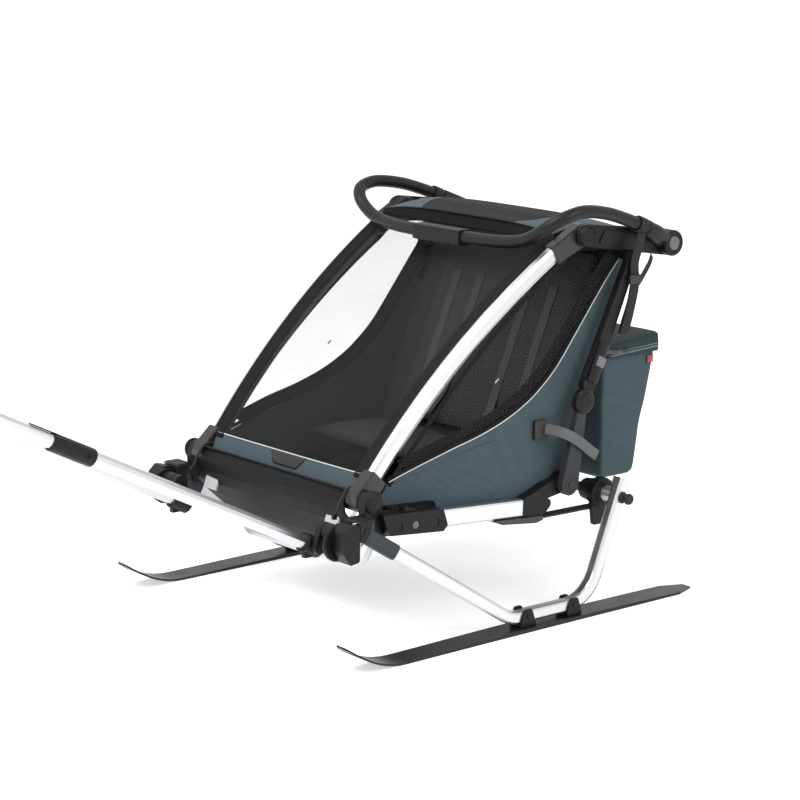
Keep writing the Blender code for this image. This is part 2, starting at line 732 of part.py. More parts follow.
def leaf_spring():
    """Leaf from a shoe under the rail back to the hub."""
    low = rail_z(0) - RAIL_HEIGHT / 2 - SEAM
    drop = math.tan(RAIL_PITCH)
    shoe = slab(rounded([(SHOE_FRONT, low - drop * SHOE_FRONT), (SHOE_FRONT + 0.02, low - 0.004),
                         (SHOE_REAR - 0.02, low - 0.016), (SHOE_REAR, low - 0.012),
                         (SHOE_REAR, low - drop * SHOE_REAR)], 0.001, 1),
                INNER - 0.004, OUTER + 0.006, 0.0008)
    leaf_low = low - drop * SHOE_REAR - 0.0075
    leaf = slab([(SHOE_REAR - 0.03, leaf_low + 0.001), (AXLE_Y + 0.008, leaf_low - 0.0025),
                 (AXLE_Y + 0.008, leaf_low - 0.0025 + LEAF_THICKNESS),
                 (SHOE_REAR - 0.03, leaf_low + 0.001 + LEAF_THICKNESS)],
                RAIL_X - LEAF_WIDTH / 2, RAIL_X + LEAF_WIDTH / 2)
    return joined(shoe, leaf)


def rear_axle():
    """Tube between the two hubs."""
    reach = INNER - 0.008 - SEAM
    return tube([(-reach, AXLE_Y, AXLE_Z), (reach, AXLE_Y, AXLE_Z)], AXLE_RADIUS, 3)


def hub():
    """Drum on the axle's end, with a bore for the ski leg's pin and a tongue below."""
    inner = INNER - 0.008
    length = HUB_OUTER - inner
    bore = PIN_RADIUS + SLIP
    drum = turned([(0, length), (HUB_RADIUS - 0.012, length),
                   (HUB_RADIUS - 0.010, length - 0.006), (HUB_RADIUS - 0.002, length - 0.008),
                   (HUB_RADIUS, length - 0.011), (HUB_RADIUS, length - 0.030),
                   (HUB_RADIUS - 0.006, length - 0.033), (HUB_RADIUS - 0.010, 0.003),
                   (HUB_RADIUS - 0.012, 0.0), (0, 0.0)],
                  (inner, AXLE_Y, AXLE_Z), (1, 0, 0), 16)
    tongue = slab(rounded([(AXLE_Y - 0.026, AXLE_Z - 0.010), (AXLE_Y - 0.018, HUB_TONGUE_Z),
                           (AXLE_Y + 0.010, HUB_TONGUE_Z), (AXLE_Y + 0.026, AXLE_Z - 0.010)], 0.006),
                  RAIL_X + LEAF_WIDTH / 2 + SEAM, RAIL_X + LEAF_WIDTH / 2 + 0.010, 0.001)
    pin_space = turned([(0, 2 * length), (bore, 2 * length), (bore, 0), (0, 0)],
                       (inner + HUB_FLOOR, AXLE_Y, AXLE_Z), (1, 0, 0), 16)
    return cut(joined(drum, tongue), pin_space)


# Skis, legs and brackets

def leg_direction():
    """Unit vector down the slanted front part of the leg."""
    return (Vector((SKI_X, LEG_FRONT_BEND_Y, LEG_FOOT_HEIGHT)) - Vector(SOCKET_START)).normalized()


def leg_socket():
    """Sleeve that takes the leg's front end, with a spigot into the receiver's neck."""
    start = Vector(SOCKET_START)
    along = leg_direction()
    outer = LEG_SIZE + 2 * (SOCKET_WALL + SEAM)
    sleeve = sweep([start + along * 0.003, start + along * SOCKET_LENGTH], outer, outer,
                   LEG_CORNER + SOCKET_WALL)
    bore = sweep([start + along * 0.022, start + along * (SOCKET_LENGTH + 0.02)],
                 LEG_SIZE + 2 * SEAM, LEG_SIZE + 2 * SEAM, LEG_CORNER)
    low, high = spigot_low(), spigot_high()
    head = block((RECEIVER_INNER + 0.002, start.y - 0.010, rail_z(RECEIVER_FRONT) - 0.021),
                 (start.x + outer / 2 - 0.001, RECEIVER_FRONT - SEAM, rail_z(RECEIVER_FRONT) + 0.023),
                 0.003)
    neck_side = block((RECEIVER_INNER - 0.05, RECEIVER_FRONT - SEAM, 0.2),
                      (RECEIVER_INNER + RECEIVER_NECK_WIDTH + SEAM, RECEIVER_STEP + 0.2, 0.35))
    spigot = block((low[0], low[1], low[2]), (high[0], high[1], high[2]), 0.0)
    return cut(joined(cut(joined(sleeve, head), neck_side), spigot), bore)


def ski_leg():
    """Square tube from the socket down along the ski and up to the axle, with its end cap."""
    start = Vector(SOCKET_START) + leg_direction() * 0.0225
    path = filleted([start, (SKI_X, LEG_FRONT_BEND_Y, LEG_FOOT_HEIGHT),
                     (SKI_X, LEG_REAR_BEND_Y, LEG_FOOT_HEIGHT), (SKI_X, *LEG_TOP)],
                    [LEG_FRONT_BEND_RADIUS, LEG_REAR_BEND_RADIUS], 5)
    body = sweep(path, LEG_SIZE, LEG_SIZE, LEG_CORNER)
    top = Vector((SKI_X, *LEG_TOP))
    up = (path[-1] - path[-2]).normalized()
    cap = sweep([top - up * LEG_CAP_HEIGHT, top + up * 0.003], LEG_SIZE + 2 * LEG_CAP_WALL,
                LEG_SIZE + 2 * LEG_CAP_WALL, LEG_CORNER)
    spacer = turned([(0, SKI_X - HUB_OUTER - SEAM), (0.014, SKI_X - HUB_OUTER - SEAM), (0.019, 0.0),
                     (0, 0)], (HUB_OUTER + SEAM, AXLE_Y, AXLE_Z), (1, 0, 0), 16)
    pin_hole = turned([(0, 0.08), (PIN_RADIUS + SLIP, 0.08), (PIN_RADIUS + SLIP, 0), (0, 0)],
                      (HUB_OUTER - 0.02, AXLE_Y, AXLE_Z), (1, 0, 0), 16)
    return cut(joined(body, cap, spacer), pin_hole)


def release_knob():
    """Turned grip outside the leg, on a pin that runs through it into the hub."""
    face = SKI_X + LEG_SIZE / 2 + SLIP
    pin_length = face - (RAIL_X + LEAF_WIDTH / 2)
    grip = RELEASE_KNOB_LENGTH
    total = pin_length + grip
    profile = [(0, total), (RELEASE_KNOB_RADIUS - 0.004, total),
               (RELEASE_KNOB_RADIUS - 0.001, total - 0.003),
               (RELEASE_KNOB_RADIUS, total - 0.008), (RELEASE_KNOB_RADIUS - 0.004, total - 0.013),
               (RELEASE_KNOB_RADIUS - 0.004, total - 0.018), (RELEASE_KNOB_RADIUS, pin_length + 0.003),
               (RELEASE_KNOB_RADIUS, pin_length), (PIN_RADIUS, pin_length), (PIN_RADIUS, 0.001),
               (PIN_RADIUS - 0.001, 0), (0, 0)]
    return turned(profile, (face - pin_length, AXLE_Y, AXLE_Z), (1, 0, 0), 16)


def ski():
    """Flat sole, upturned tip, thick middle, waisted sides and a cut tail."""
    run = SKI_TAIL_Y - SKI_CONTACT_FRONT
    rise = SKI_TIP_Z
    reach = SKI_CONTACT_FRONT - SKI_TIP_Y
    sole = []
    top = []
    for step in range(9):
        share = step / 8
        y = SKI_CONTACT_FRONT - reach * share
        sole.append((y, rise * share * share))
        slope = 2 * rise * share / reach
        lean = math.atan(slope)
        thick = mix(SKI_END_THICKNESS + 0.001, SKI_END_THICKNESS, share)
        top.append((y + thick * math.sin(lean), rise * share * share + thick * math.cos(lean)))
    upper = []
    for step in range(1, 13):
        share = step / 12
        bulk = math.sin(math.pi * share) ** 0.8 if step < 12 else 0.0
        thick = SKI_END_THICKNESS + (SKI_MIDDLE_THICKNESS - SKI_END_THICKNESS) * bulk
        upper.append((SKI_CONTACT_FRONT + run * share, thick))
    side = ([(SKI_TAIL_Y, 0.0)] + sole + list(reversed(top)) + upper)
    plan = []
    edge = []
    for step in range(13):
        share = step / 12
        y = mix(SKI_TIP_Y + 0.05, SKI_TAIL_Y - 0.055, share)
        edge.append((SKI_HALF_WIDTH - SKI_WAIST * math.sin(math.pi * share), y))
    tip = [(SKI_HALF_WIDTH * math.sin(angle), SKI_TIP_Y + 0.05 - 0.052 * math.cos(angle))
           for angle in (math.radians(15 * step) for step in range(-5, 6))]
    tail = [(0.012, SKI_TAIL_Y + 0.002), (-0.012, SKI_TAIL_Y + 0.002)]
    plan = tip + edge + tail + [(-x, y) for x, y in reversed(edge)]
    blank = slab(side, SKI_X - 0.05, SKI_X + 0.05)
    outline = slab([(SKI_X + x, y) for x, y in plan], -0.02, 0.1, 0.0, "Z")
    return combined(blank, outline, "INTERSECT")


def ski_bracket(y):
    """Saddle on the ski: two ears beside the leg tube and a foot under it."""
    half = BRACKET_LENGTH / 2
    foot = SKI_MIDDLE_THICKNESS + SEAM
    shape = rounded([(y - half, foot, 0.0), (y + half, foot, 0.0), (y + half, foot + 0.007, 0.002),
                     (y + half * 0.48, foot + BRACKET_HEIGHT, 0.006),
                     (y - half * 0.48, foot + BRACKET_HEIGHT, 0.006),
                     (y - half, foot + 0.007, 0.002)], 0, 3)
    outer = LEG_SIZE / 2 + SEAM + BRACKET_EAR
    saddle = slab(shape, SKI_X - outer, SKI_X + outer, 0.0012)
    gap = LEG_SIZE / 2 + SEAM
    channel = block((SKI_X - gap, y - 0.1, LEG_FOOT_HEIGHT - gap), (SKI_X + gap, y + 0.1, 0.2))
    bolt_z = LEG_FOOT_HEIGHT + 0.002
    bolt = turned([(0, 0.003), (0.005, 0.003), (0.0065, 0.0), (0.0065, -0.003), (0, -0.003)],
                  (SKI_X + outer, y, bolt_z), (1, 0, 0), 12)
    return cut(joined(saddle, bolt), channel)


# Tow set

def pole_point(distance):
    """A point of the left pole's centre line, that far from its start."""
    return Vector((POLE_X, POLE_START[0] - distance * math.cos(POLE_RISE),
                   POLE_START[1] + distance * math.sin(POLE_RISE)))


def tow_bracket():
    """Body on the leg socket's head, a round flange and the barrel that the clamp turns on."""
    back = SOCKET_START[1] - 0.010 - SEAM
    y, z = TOW_AXIS
    flange_inner = RAIL_X - 0.010
    body = slab(rounded([(back, z - 0.052), (back, z + 0.026), (back - 0.022, z + 0.030),
                         (back - 0.040, z + 0.014), (back - 0.042, z - 0.030), (back - 0.026, z - 0.056)],
                        0.007), flange_inner + 0.008, SOCKET_START[0] + 0.017, 0.0025)
    flange = turned([(0, 0.009), (TOW_FLANGE_RADIUS - 0.003, 0.009), (TOW_FLANGE_RADIUS, 0.006),
                     (TOW_FLANGE_RADIUS, 0.001), (TOW_FLANGE_RADIUS - 0.002, 0), (0, 0)],
                    (flange_inner, back - 0.022, z - TOW_FLANGE_DROP), (1, 0, 0), 16)
    trim = block((0.2, back, 0.1), (0.5, back + 0.1, 0.4))
    barrel_inner = POLE_X + POLE_RADIUS + SEAM + CLAMP_WALL + 0.014
    barrel = turned([(0, flange_inner - barrel_inner + 0.004),
                     (TOW_BARREL_RADIUS, flange_inner - barrel_inner + 0.004),
                     (TOW_BARREL_RADIUS, 0.002), (TOW_BARREL_RADIUS - 0.002, 0), (0, 0)],
                    (barrel_inner, y, z), (1, 0, 0), 18)
    return cut(joined(body, flange, barrel), trim)


def pole_clamp():
    """Split collar on the pole with a disc beside the bracket's barrel and a tightening screw."""
    bore = POLE_RADIUS + SEAM
    outer = bore + CLAMP_WALL
    along = (pole_point(1) - pole_point(0)).normalized()
    start = pole_point(-CLAMP_LENGTH / 2)
    collar = turned([(0, CLAMP_LENGTH), (outer - 0.0015, CLAMP_LENGTH), (outer, CLAMP_LENGTH - 0.0015),
                     (outer, 0.0015), (outer - 0.0015, 0), (0, 0)], start, along, 18)
    disc_inner = POLE_X + bore + 0.0005
    disc_outer = POLE_X + outer + 0.014 - SLIP
    y, z = TOW_AXIS
    disc = slab(capsule((y, z), (POLE_START[0], POLE_START[1]), TOW_BARREL_RADIUS, 0.014, 8),
                disc_inner + 0.002, disc_outer, 0.001)
    bore_space = turned([(0, 0.2), (bore, 0.2), (bore, 0), (0, 0)], pole_point(-0.1), along, 18)
    normal = Vector((0, math.sin(POLE_RISE), math.cos(POLE_RISE)))
    screw_at = pole_point(0) - normal * (outer - 0.002)
    lip = block((POLE_X - 0.004, -0.012, -0.006), (POLE_X + 0.010, 0.012, 0.006), 0.001)
    lip.data.transform(Matrix.Translation((0, screw_at.y, screw_at.z)))
    return cut(joined(collar, disc, lip), bore_space)


def tow_pole():
    """Rear section of the pole, from the clamp into the connecting sleeve."""
    return tube([pole_point(-0.020), pole_point(POLE_REAR_LENGTH)], POLE_RADIUS, 4)


def sleeve_start():
    """Distance along the pole where the connecting sleeve begins."""
    return POLE_REAR_LENGTH + POLE_SLEEVE_WEB / 2 + SEAM - POLE_SLEEVE_LENGTH / 2


def pole_sleeve():
    """Connecting sleeve with a web inside, a long tongue on the front section and a button hole."""
    along = (pole_point(1) - pole_point(0)).normalized()
    bore = POLE_RADIUS + SEAM
    outer = bore + POLE_SLEEVE_WALL
    middle = POLE_SLEEVE_LENGTH / 2
    web = POLE_SLEEVE_WEB / 2
    shell = turned([(0, middle + web), (bore, middle + web), (bore, POLE_SLEEVE_LENGTH),
                    (outer - 0.001, POLE_SLEEVE_LENGTH), (outer, POLE_SLEEVE_LENGTH - 0.002),
                    (outer, 0.002), (outer - 0.001, 0), (bore, 0), (bore, middle - web),
                    (0, middle - web)], pole_point(sleeve_start()), along, 16)
    tongue = block((POLE_X - 0.008, bore + 0.0004, POLE_SLEEVE_LENGTH - 0.012),
                   (POLE_X + 0.008, bore + 0.0030, POLE_SLEEVE_LENGTH + POLE_TONGUE_LENGTH), 0.0008)
    turn = frame_along(pole_point(sleeve_start()), along)
    tongue.data.transform(turn @ Matrix.Translation((-POLE_X, 0, 0)))
    hole = turned([(0, 0.03), (0.0045, 0.03), (0.0045, 0), (0, 0)],
                  pole_point(sleeve_start() + 0.022) + Vector((POLE_RADIUS + 0.0015, 0, 0)), (1, 0, 0), 10)
    return cut(joined(shell, tongue), hole)


def pole_front():
    """Front section of the pole with a grip and an eye for the skier's belt."""
    start = POLE_REAR_LENGTH + POLE_SLEEVE_WEB + 2 * SEAM
    end = start + POLE_FRONT_LENGTH
    section = tube([pole_point(start), pole_point(end)], POLE_RADIUS, 4)
    grip = turned([(0, 0.110), (0.006, 0.110), (POLE_END_RADIUS, 0.100), (POLE_END_RADIUS + 0.001, 0.050),
                   (POLE_END_RADIUS, 0.002), (POLE_RADIUS + 0.0002, 0), (0, 0)],
                  pole_point(end - 0.090), (pole_point(1) - pole_point(0)).normalized(), 16)
    return joined(section, grip)


# Fold frame

def pillar_line(count):
    """Points of the bowed centre line, foot to top, as (y, z)."""
    foot = Vector(PILLAR_FOOT)
    chord = Vector(PILLAR_TOP) - foot
    radius = (chord.length ** 2 / 4 + PILLAR_BOW ** 2) / (2 * PILLAR_BOW)
    half = math.asin(chord.length / 2 / radius)
    outward = Vector((-chord.y, chord.x)).normalized()
    centre = foot + chord / 2 - outward * (radius - PILLAR_BOW)
    line = []
    for step in range(count + 1):
        swing = Matrix.Rotation(half - 2 * half * step / count, 2)
        line.append(centre + swing @ (outward * radius))
    return line


def pillar_x(share):
    """Distance of the pillar's centre line from the middle, foot to top."""
    return mix(PILLAR_FOOT_SPREAD, PILLAR_TOP_SPREAD, share) / 2


def socket_cut(tip, pivot, x):
    """Box beyond a socket's mouth, square to the way from the pivot to the tip."""
    angle = math.atan2(tip.y - pivot[1], tip.x - pivot[0])
    trim = block((-0.06, 0, -0.06), (0.06, 0.06, 0.06))
    trim.data.transform(Matrix.Translation((x, tip.x, tip.y)) @ Matrix.Rotation(angle, 4, "X"))
    return trim


def pillar():
    """Bowed oval tube between two plastic sockets, each with a pivot eye."""
    line = pillar_line(9)
    ends = [line[0] - (line[1] - line[0]).normalized() * 0.015] + line
    ends.append(line[-1] + (line[-1] - line[-2]).normalized() * 0.015)
    shares = [0] + [index / (len(line) - 1) for index in range(len(line))] + [1]
    body = sweep([(pillar_x(share), point.x, point.y) for share, point in zip(shares, ends)],
                 PILLAR_WIDTH, PILLAR_DEPTH, PILLAR_WIDTH * 0.46, 2)
    mouth = PILLAR_DEPTH / 2 + PILLAR_SOCKET_WALL
    for pivot, end, inward, share, outer in (
            (FRONT_PIVOT, line[0], line[1] - line[0], 0, FRONT_SPLIT),
            (ROOF_PIVOT, line[-1], line[-2] - line[-1], 1, ROOF_SPLIT)):
        tip = end + inward.normalized() * PILLAR_SOCKET_LENGTH
        middle = pillar_x(share)
        socket = slab(capsule(pivot, tuple(tip), PIVOT_EYE_RADIUS, mouth, 6),
                      middle - SOCKET_HALF, max(outer, middle + SOCKET_HALF), 0.003)
        socket = cut(socket, socket_cut(tip, pivot, middle))
        body = joined(body, socket)
    return body


def roof_bar():
    """Bar from the pillar's head to the handlebar's hub, with a cap on its pivot and the strut's lug."""
    half = ROOF_BAR_HEIGHT / 2
    bar = slab(capsule(ROOF_PIVOT, HANDLE_PIVOT, half, HANDLE_HUB_RADIUS, 8), INNER, ROOF_BAR_OUTER, 0.002)
    head_space = slab(capsule((ROOF_PIVOT[0] - 0.05, ROOF_PIVOT[1]), ROOF_PIVOT, PIVOT_EYE_RADIUS + 0.004,
                              PIVOT_EYE_RADIUS + 0.004, 6), INNER - 0.02, ROOF_SPLIT + SLIP)
    lug = slab(capsule((UPPER_STRUT_PIVOT[0] + 0.004, UPPER_STRUT_PIVOT[1] + 0.035), UPPER_STRUT_PIVOT,
                       0.020, STRUT_TOP_RADIUS, 5), INNER + 0.0005, ROOF_BAR_OUTER - 0.002)
    reach = OUTER - ROOF_BAR_OUTER + 0.002
    boss = turned([(0, reach), (STRUT_TOP_RADIUS - 0.003, reach), (STRUT_TOP_RADIUS - 0.002, -0.004),
                   (0, -0.004)], side_point(UPPER_STRUT_PIVOT, ROOF_BAR_OUTER - 0.002), (1, 0, 0), 14)
    front = Vector(ROOF_PIVOT)
    along = (Vector(HANDLE_PIVOT) - front).normalized()
    up = Vector((-along.y, along.x))
    reach = (Vector(HANDLE_PIVOT) - front).length
    low = ROOF_PAD_HEIGHT / 2
    corners = [front + along * (PIVOT_EYE_RADIUS + 0.012) - up * low,
               front + along * (reach - HANDLE_HUB_RADIUS - 0.008) - up * low,
               front + along * (reach - HANDLE_HUB_RADIUS - 0.018) + up * low,
               front + along * (PIVOT_EYE_RADIUS + 0.024) + up * low]
    pad = slab(rounded([tuple(corner) for corner in corners], 0.004), ROOF_BAR_OUTER - 0.004,
               ROOF_BAR_OUTER + ROOF_PAD_DEPTH, 0.001)
    cap = turned([(0, ROOF_KNOB_HEIGHT), (KNOB_RADIUS - 0.008, ROOF_KNOB_HEIGHT),
                  (KNOB_RADIUS - 0.002, ROOF_KNOB_HEIGHT - 0.0025),
                  (KNOB_RADIUS - 0.001, ROOF_KNOB_HEIGHT - 0.005), (KNOB_RADIUS - 0.001, -0.003),
                  (0, -0.003)], side_point(ROOF_PIVOT, ROOF_BAR_OUTER), (1, 0, 0), 18)
    drum = turned([(0, HUB_INBOARD), (HANDLE_HUB_RADIUS - 0.004, HUB_INBOARD),
                   (HANDLE_HUB_RADIUS - 0.001, HUB_INBOARD - 0.003), (HANDLE_HUB_RADIUS - 0.001, -0.004),
                   (0, -0.004)], side_point(HANDLE_PIVOT, INNER), (-1, 0, 0), 14)
    return joined(cut(bar, head_space), lug, boss, pad, cap, drum)


def strut_planes():
    """Inner, middle and outer planes of the struts, which fold outside the rails and roof bars."""
    inner = OUTER + SLIP
    outer = inner + STRUT_WIDTH
    return inner, (inner + outer) / 2, outer


def disc_room(start):
    """Space that the other link's hinge disc turns in, 50 mm deep from a plane outwards."""
    radius = HINGE_DISC_RADIUS + DISC_CLEARANCE
    return turned([(0, 0.05), (radius, 0.05), (radius, 0), (0, 0)], side_point(MIDDLE_PIVOT, start),
                  (1, 0, 0), 16)


def strut_lower():
    """Link from the rear corner's hinge up to the inner half of the middle hinge."""
    inner, middle, outer = strut_planes()
    low = Vector(LOWER_STRUT_PIVOT)
    high = Vector(MIDDLE_PIVOT)
    along = (high - low).normalized()
    neck = high - along * (HINGE_DISC_RADIUS + 0.004)
    link = slab(capsule(LOWER_STRUT_PIVOT, tuple(neck), HINGE_DISC_RADIUS - 0.0035, STRUT_HALF_DEPTH, 8),
                inner, outer, 0.002)
    disc_space = disc_room(middle - SLIP / 2)
    disc = turned([(0, middle - inner - SLIP / 2), (HINGE_DISC_RADIUS, middle - inner - SLIP / 2),
                   (HINGE_DISC_RADIUS, 0.002), (HINGE_DISC_RADIUS - 0.002, 0), (0, 0)],
                  side_point(MIDDLE_PIVOT, inner), (1, 0, 0), 16)
    bolt = turned([(0, 0.0065), (0.006, 0.0065), (0.0085, 0.0045), (0.0085, 0.002),
                   (0.016, 0.002), (0.0175, 0.0), (0.0175, -0.004), (0, -0.004)],
                  side_point(LOWER_STRUT_PIVOT, outer), (1, 0, 0), 18)
    return joined(cut(link, disc_space), disc, bolt)


def strut_upper():
    """Link from the outer half of the middle hinge up to the open pivot under the roof bar."""
    inner, middle, outer = strut_planes()
    low = Vector(MIDDLE_PIVOT)
    high = Vector(UPPER_STRUT_PIVOT)
    along = (high - low).normalized()
    neck = low + along * (HINGE_DISC_RADIUS + 0.010)
    link = slab(capsule(UPPER_STRUT_PIVOT, tuple(neck), STRUT_TOP_RADIUS, STRUT_HALF_DEPTH + 0.006, 8),
                inner, outer, 0.003)
    disc_space = disc_room(middle + SLIP / 2 - 0.05)
    boss = 0.008
    back = middle - outer + SLIP / 2
    disc = turned([(0, boss), (0.014, boss), (0.016, boss - 0.002),
                   (HINGE_DISC_RADIUS - 0.004, boss - 0.003), (HINGE_DISC_RADIUS, boss - 0.006),
                   (HINGE_DISC_RADIUS, back), (0, back)], side_point(MIDDLE_PIVOT, outer), (1, 0, 0), 16)
    button_at = low + along * 0.082
    button = turned([(0, 0.008), (0.009, 0.008), (0.011, 0.005), (0.011, -0.003), (0, -0.003)],
                    side_point(tuple(button_at), outer), (1, 0, 0), 14)
    return joined(cut(link, disc_space), disc, button)


def handle_path():
    """The left half of the handlebar's centre line, hub to middle."""
    return [
        (0.3440, 0.3960, 0.8050), (0.3500, 0.3630, 0.8230), (0.3500, 0.3130, 0.8410),
        (0.3500, 0.2660, 0.8580), (0.3540, 0.2050, 0.8760), (0.3580, 0.1350, 0.8855),
        (0.3520, 0.0850, 0.8760), (0.3260, 0.0600, 0.8560), (0.2900, 0.0520, 0.8330),
        (0.2450, 0.0480, 0.8165), (0.1700, 0.0400, 0.8095), (0.0800, 0.0340, 0.8085),
    ]


def handlebar():
    """Bent tube over the roof's front, with a drum at each end for its swing."""
    half = [Vector(point) for point in handle_path()[:3]]
    half += smooth_path(handle_path()[3:10], 2) + [Vector(handle_path()[-1])]
    path = half + [Vector((-p.x, p.y, p.z)) for p in reversed(half)]
    bar = tube(path, HANDLE_RADIUS, 2)
    for side in (-1, 1):
        drum = turned([(0, HANDLE_HUB_WIDTH), (HANDLE_HUB_RADIUS - 0.004, HANDLE_HUB_WIDTH),
                       (HANDLE_HUB_RADIUS, HANDLE_HUB_WIDTH - 0.004), (HANDLE_HUB_RADIUS, 0), (0, 0)],
                      side_point(HANDLE_PIVOT, side * (ROOF_BAR_OUTER + SLIP)), (side, 0, 0), 18)
        floor = ROOF_BAR_OUTER + SLIP + HANDLE_HUB_WIDTH - 0.0145
        pocket = turned([(0, 0.03), (HANDLE_BUTTON_RADIUS + SLIP, 0.03), (HANDLE_BUTTON_RADIUS + SLIP, 0),
                         (0, 0)], side_point(HANDLE_PIVOT, side * floor), (side, 0, 0), 16)
        bar = cut(joined(bar, drum), pocket)
    return bar


def handlebar_block():
    """Moulded shell clamped round the handlebar's middle."""
    path = [point for point in handle_path() if point[0] <= HANDLE_BLOCK_LENGTH / 2 + 0.001]
    y, z = path[-1][1], path[-1][2]
    half = HANDLE_BLOCK_LENGTH / 2
    body = HANDLE_RADIUS + SEAM + HANDLE_BLOCK_WALL
    shape = rounded([(y - body, z - body), (y + body, z - body), (y + body, z + body - 0.002),
                     (y - body, z + body - 0.002)], 0.006)
    shell = slab(shape, -half, half, 0.003)
    length = HANDLE_BLOCK_LENGTH + 0.02
    radius = HANDLE_RADIUS + SEAM + 0.0004
    bore = turned([(0, length), (radius, length), (radius, 0), (0, 0)], (-half - 0.01, y, z), (1, 0, 0), 16)
    return cut(shell, bore)


def handlebar_button():
    """Push button in the drum's outer face."""
    height = 0.012
    return turned([(0, height), (HANDLE_BUTTON_RADIUS - 0.005, height),
                   (HANDLE_BUTTON_RADIUS, height - 0.003), (HANDLE_BUTTON_RADIUS, 0), (0, 0)],
                  side_point(HANDLE_PIVOT, ROOF_BAR_OUTER + HANDLE_HUB_WIDTH - 0.0090), (1, 0, 0), 16)


# Cabin

def front_cover():
    """Cloth front between the pillars, from the roof seam down to the bumper's top edge."""
    line = pillar_line(12)
    forward = PILLAR_DEPTH * 0.38
    knots = [Vector((-0.440, 0.342))]
    for index in range(1, len(line)):
        tangent = (line[index] - line[index - 1]).normalized()
        knots.append(line[index] + Vector((-tangent.y, tangent.x)) * forward)
    knots.append(Vector((ROOF_FRONT[0] - CLOTH - SLIP, ROOF_FRONT[1] - 2 * CLOTH)))
    rows = []
    for index, knot in enumerate(knots):
        share = index / (len(knots) - 1)
        half = pillar_x(share) - PILLAR_WIDTH / 2 - CLOTH_GAP - 0.004 * ramp(0.7, 1.0, share)
        half = mix(pillar_x(0) - SOCKET_HALF - CLOTH_GAP, half, ramp(0.05, 0.2, share))
        row = []
        for step in range(11):
            across = -1 + step / 5
            sink = 0.006 * (1 - across * across)
            row.append((across * half, knot.x + sink * 0.6, knot.y - sink * 0.8))
        rows.append(row)
    return sheet(rows, CLOTH)


def side_edges():
    """Front and rear edges of the side cloth, bottom to top, as lists of (y, z)."""
    line = pillar_line(10)
    front = [Vector((-0.392, 0.318))]
    for index in range(1, len(line)):
        tangent = (line[index] - line[index - 1]).normalized()
        back = Vector((tangent.y, -tangent.x))
        front.append(line[index] + back * (PILLAR_DEPTH / 2 + PILLAR_SOCKET_WALL + CLOTH_GAP))
    front[-1] = front[-1] - Vector((0.010, 0.010))
    low = Vector((LOWER_STRUT_PIVOT[0] + 0.006, LOWER_STRUT_PIVOT[1] + 0.020))
    middle = Vector((MIDDLE_PIVOT[0] + 0.030, MIDDLE_PIVOT[1] + 0.010))
    high = Vector((UPPER_STRUT_PIVOT[0] + 0.004, UPPER_STRUT_PIVOT[1] + 0.006))
    knots = [(low.x, low.y, 0), (middle.x, middle.y, 0),
             (mix(middle.x, high.x, 0.5), mix(middle.y, high.y, 0.5), 0), (high.x, high.y, 0)]
    dense = smooth_path(knots, 4)
    rear = []
    for index in range(len(front)):
        share = index / (len(front) - 1) * (len(dense) - 1)
        base = min(int(share), len(dense) - 2)
        rear.append(dense[base].lerp(dense[base + 1], share - base))
    return front, [(point.x, point.y) for point in rear]


def side_panel():
    """Side cloth from the pillar back to the struts, inside the rail, the corner and the roof bar."""
    front, rear = side_edges()
    inside = INNER - CLOTH_GAP - CLOTH / 2
    low_x = RECEIVER_INNER - CLOTH_GAP - CLOTH / 2
    rows = []
    for index, (start, end) in enumerate(zip(front, rear)):
        share = index / (len(front) - 1)
        edge_x = mix(low_x, inside, ramp(0.1, 0.6, share))
        row = []
        for step in range(9):
            along = step / 8
            x = mix(edge_x, inside, ramp(0.0, 0.6, along))
            bulge = SIDE_CLOTH_BULGE * math.sin(math.pi * along) * math.sin(math.pi * share)
            row.append((x - bulge, mix(start[0], end[0], along), mix(start[1], end[1], along)))
        rows.append(row)
    return sheet(rows, CLOTH)


def roof_half(y):
    """Half width of the roof cloth: inside the pillars' heads, the roof bars and the hubs in turn."""
    head = pillar_x(1) - SOCKET_HALF - CLOTH_GAP
    half = mix(head, INNER - CLOTH_GAP, ramp(ROOF_PIVOT[0] + 0.030, ROOF_PIVOT[0] + 0.055, y))
    at_hubs = ramp(HANDLE_PIVOT[0] - 0.065, HANDLE_PIVOT[0] - 0.032, y)
    return mix(half, INNER - HUB_INBOARD - CLOTH_GAP, at_hubs)


def roof_cover():
    """Cloth roof from the front seam over the crown to the rear edge between the roof bars."""
    rows = []
    for y in (ROOF_FRONT[0], 0.145, 0.178, 0.203, 0.228, 0.265, 0.310, 0.356, 0.389, ROOF_REAR[0]):
        share = (y - ROOF_FRONT[0]) / (ROOF_REAR[0] - ROOF_FRONT[0])
        middle = mix(ROOF_FRONT[1], ROOF_REAR[1], share ** 2.2) + ROOF_CROWN * math.sin(math.pi * share)
        row = []
        for column in range(13):
            across = -1 + column / 6
            row.append((across * roof_half(y), y, middle - 0.016 * abs(across) ** 4))
        rows.append(row)
    return sheet(rows, CLOTH, -1.0)


def backrest():
    """Sloping padded back with a channel between the two places."""
    foot = Vector(BACKREST_FOOT)
    top = Vector(BACKREST_TOP)
    along = top - foot
    back = Vector((along.y, -along.x)).normalized()
    rows = []
    for step in range(9):
        share = step / 8
        base = foot + along * share
        half = BACKREST_HALF_WIDTH * (1 - 0.04 * ramp(0.7, 1.0, share))
        row = []
        for column in range(13):
            across = -1 + column / 6
            place = abs(2 * abs(across) - 1)
            pad = BACKREST_CROWN * (1 - place ** 4) * math.sin(math.pi * min(1, max(0, share))) ** 0.5
            point = base - back * pad
            row.append((across * half, point.x, point.y))
        rows.append(row)
    return sheet(rows, BACKREST_THICKNESS)


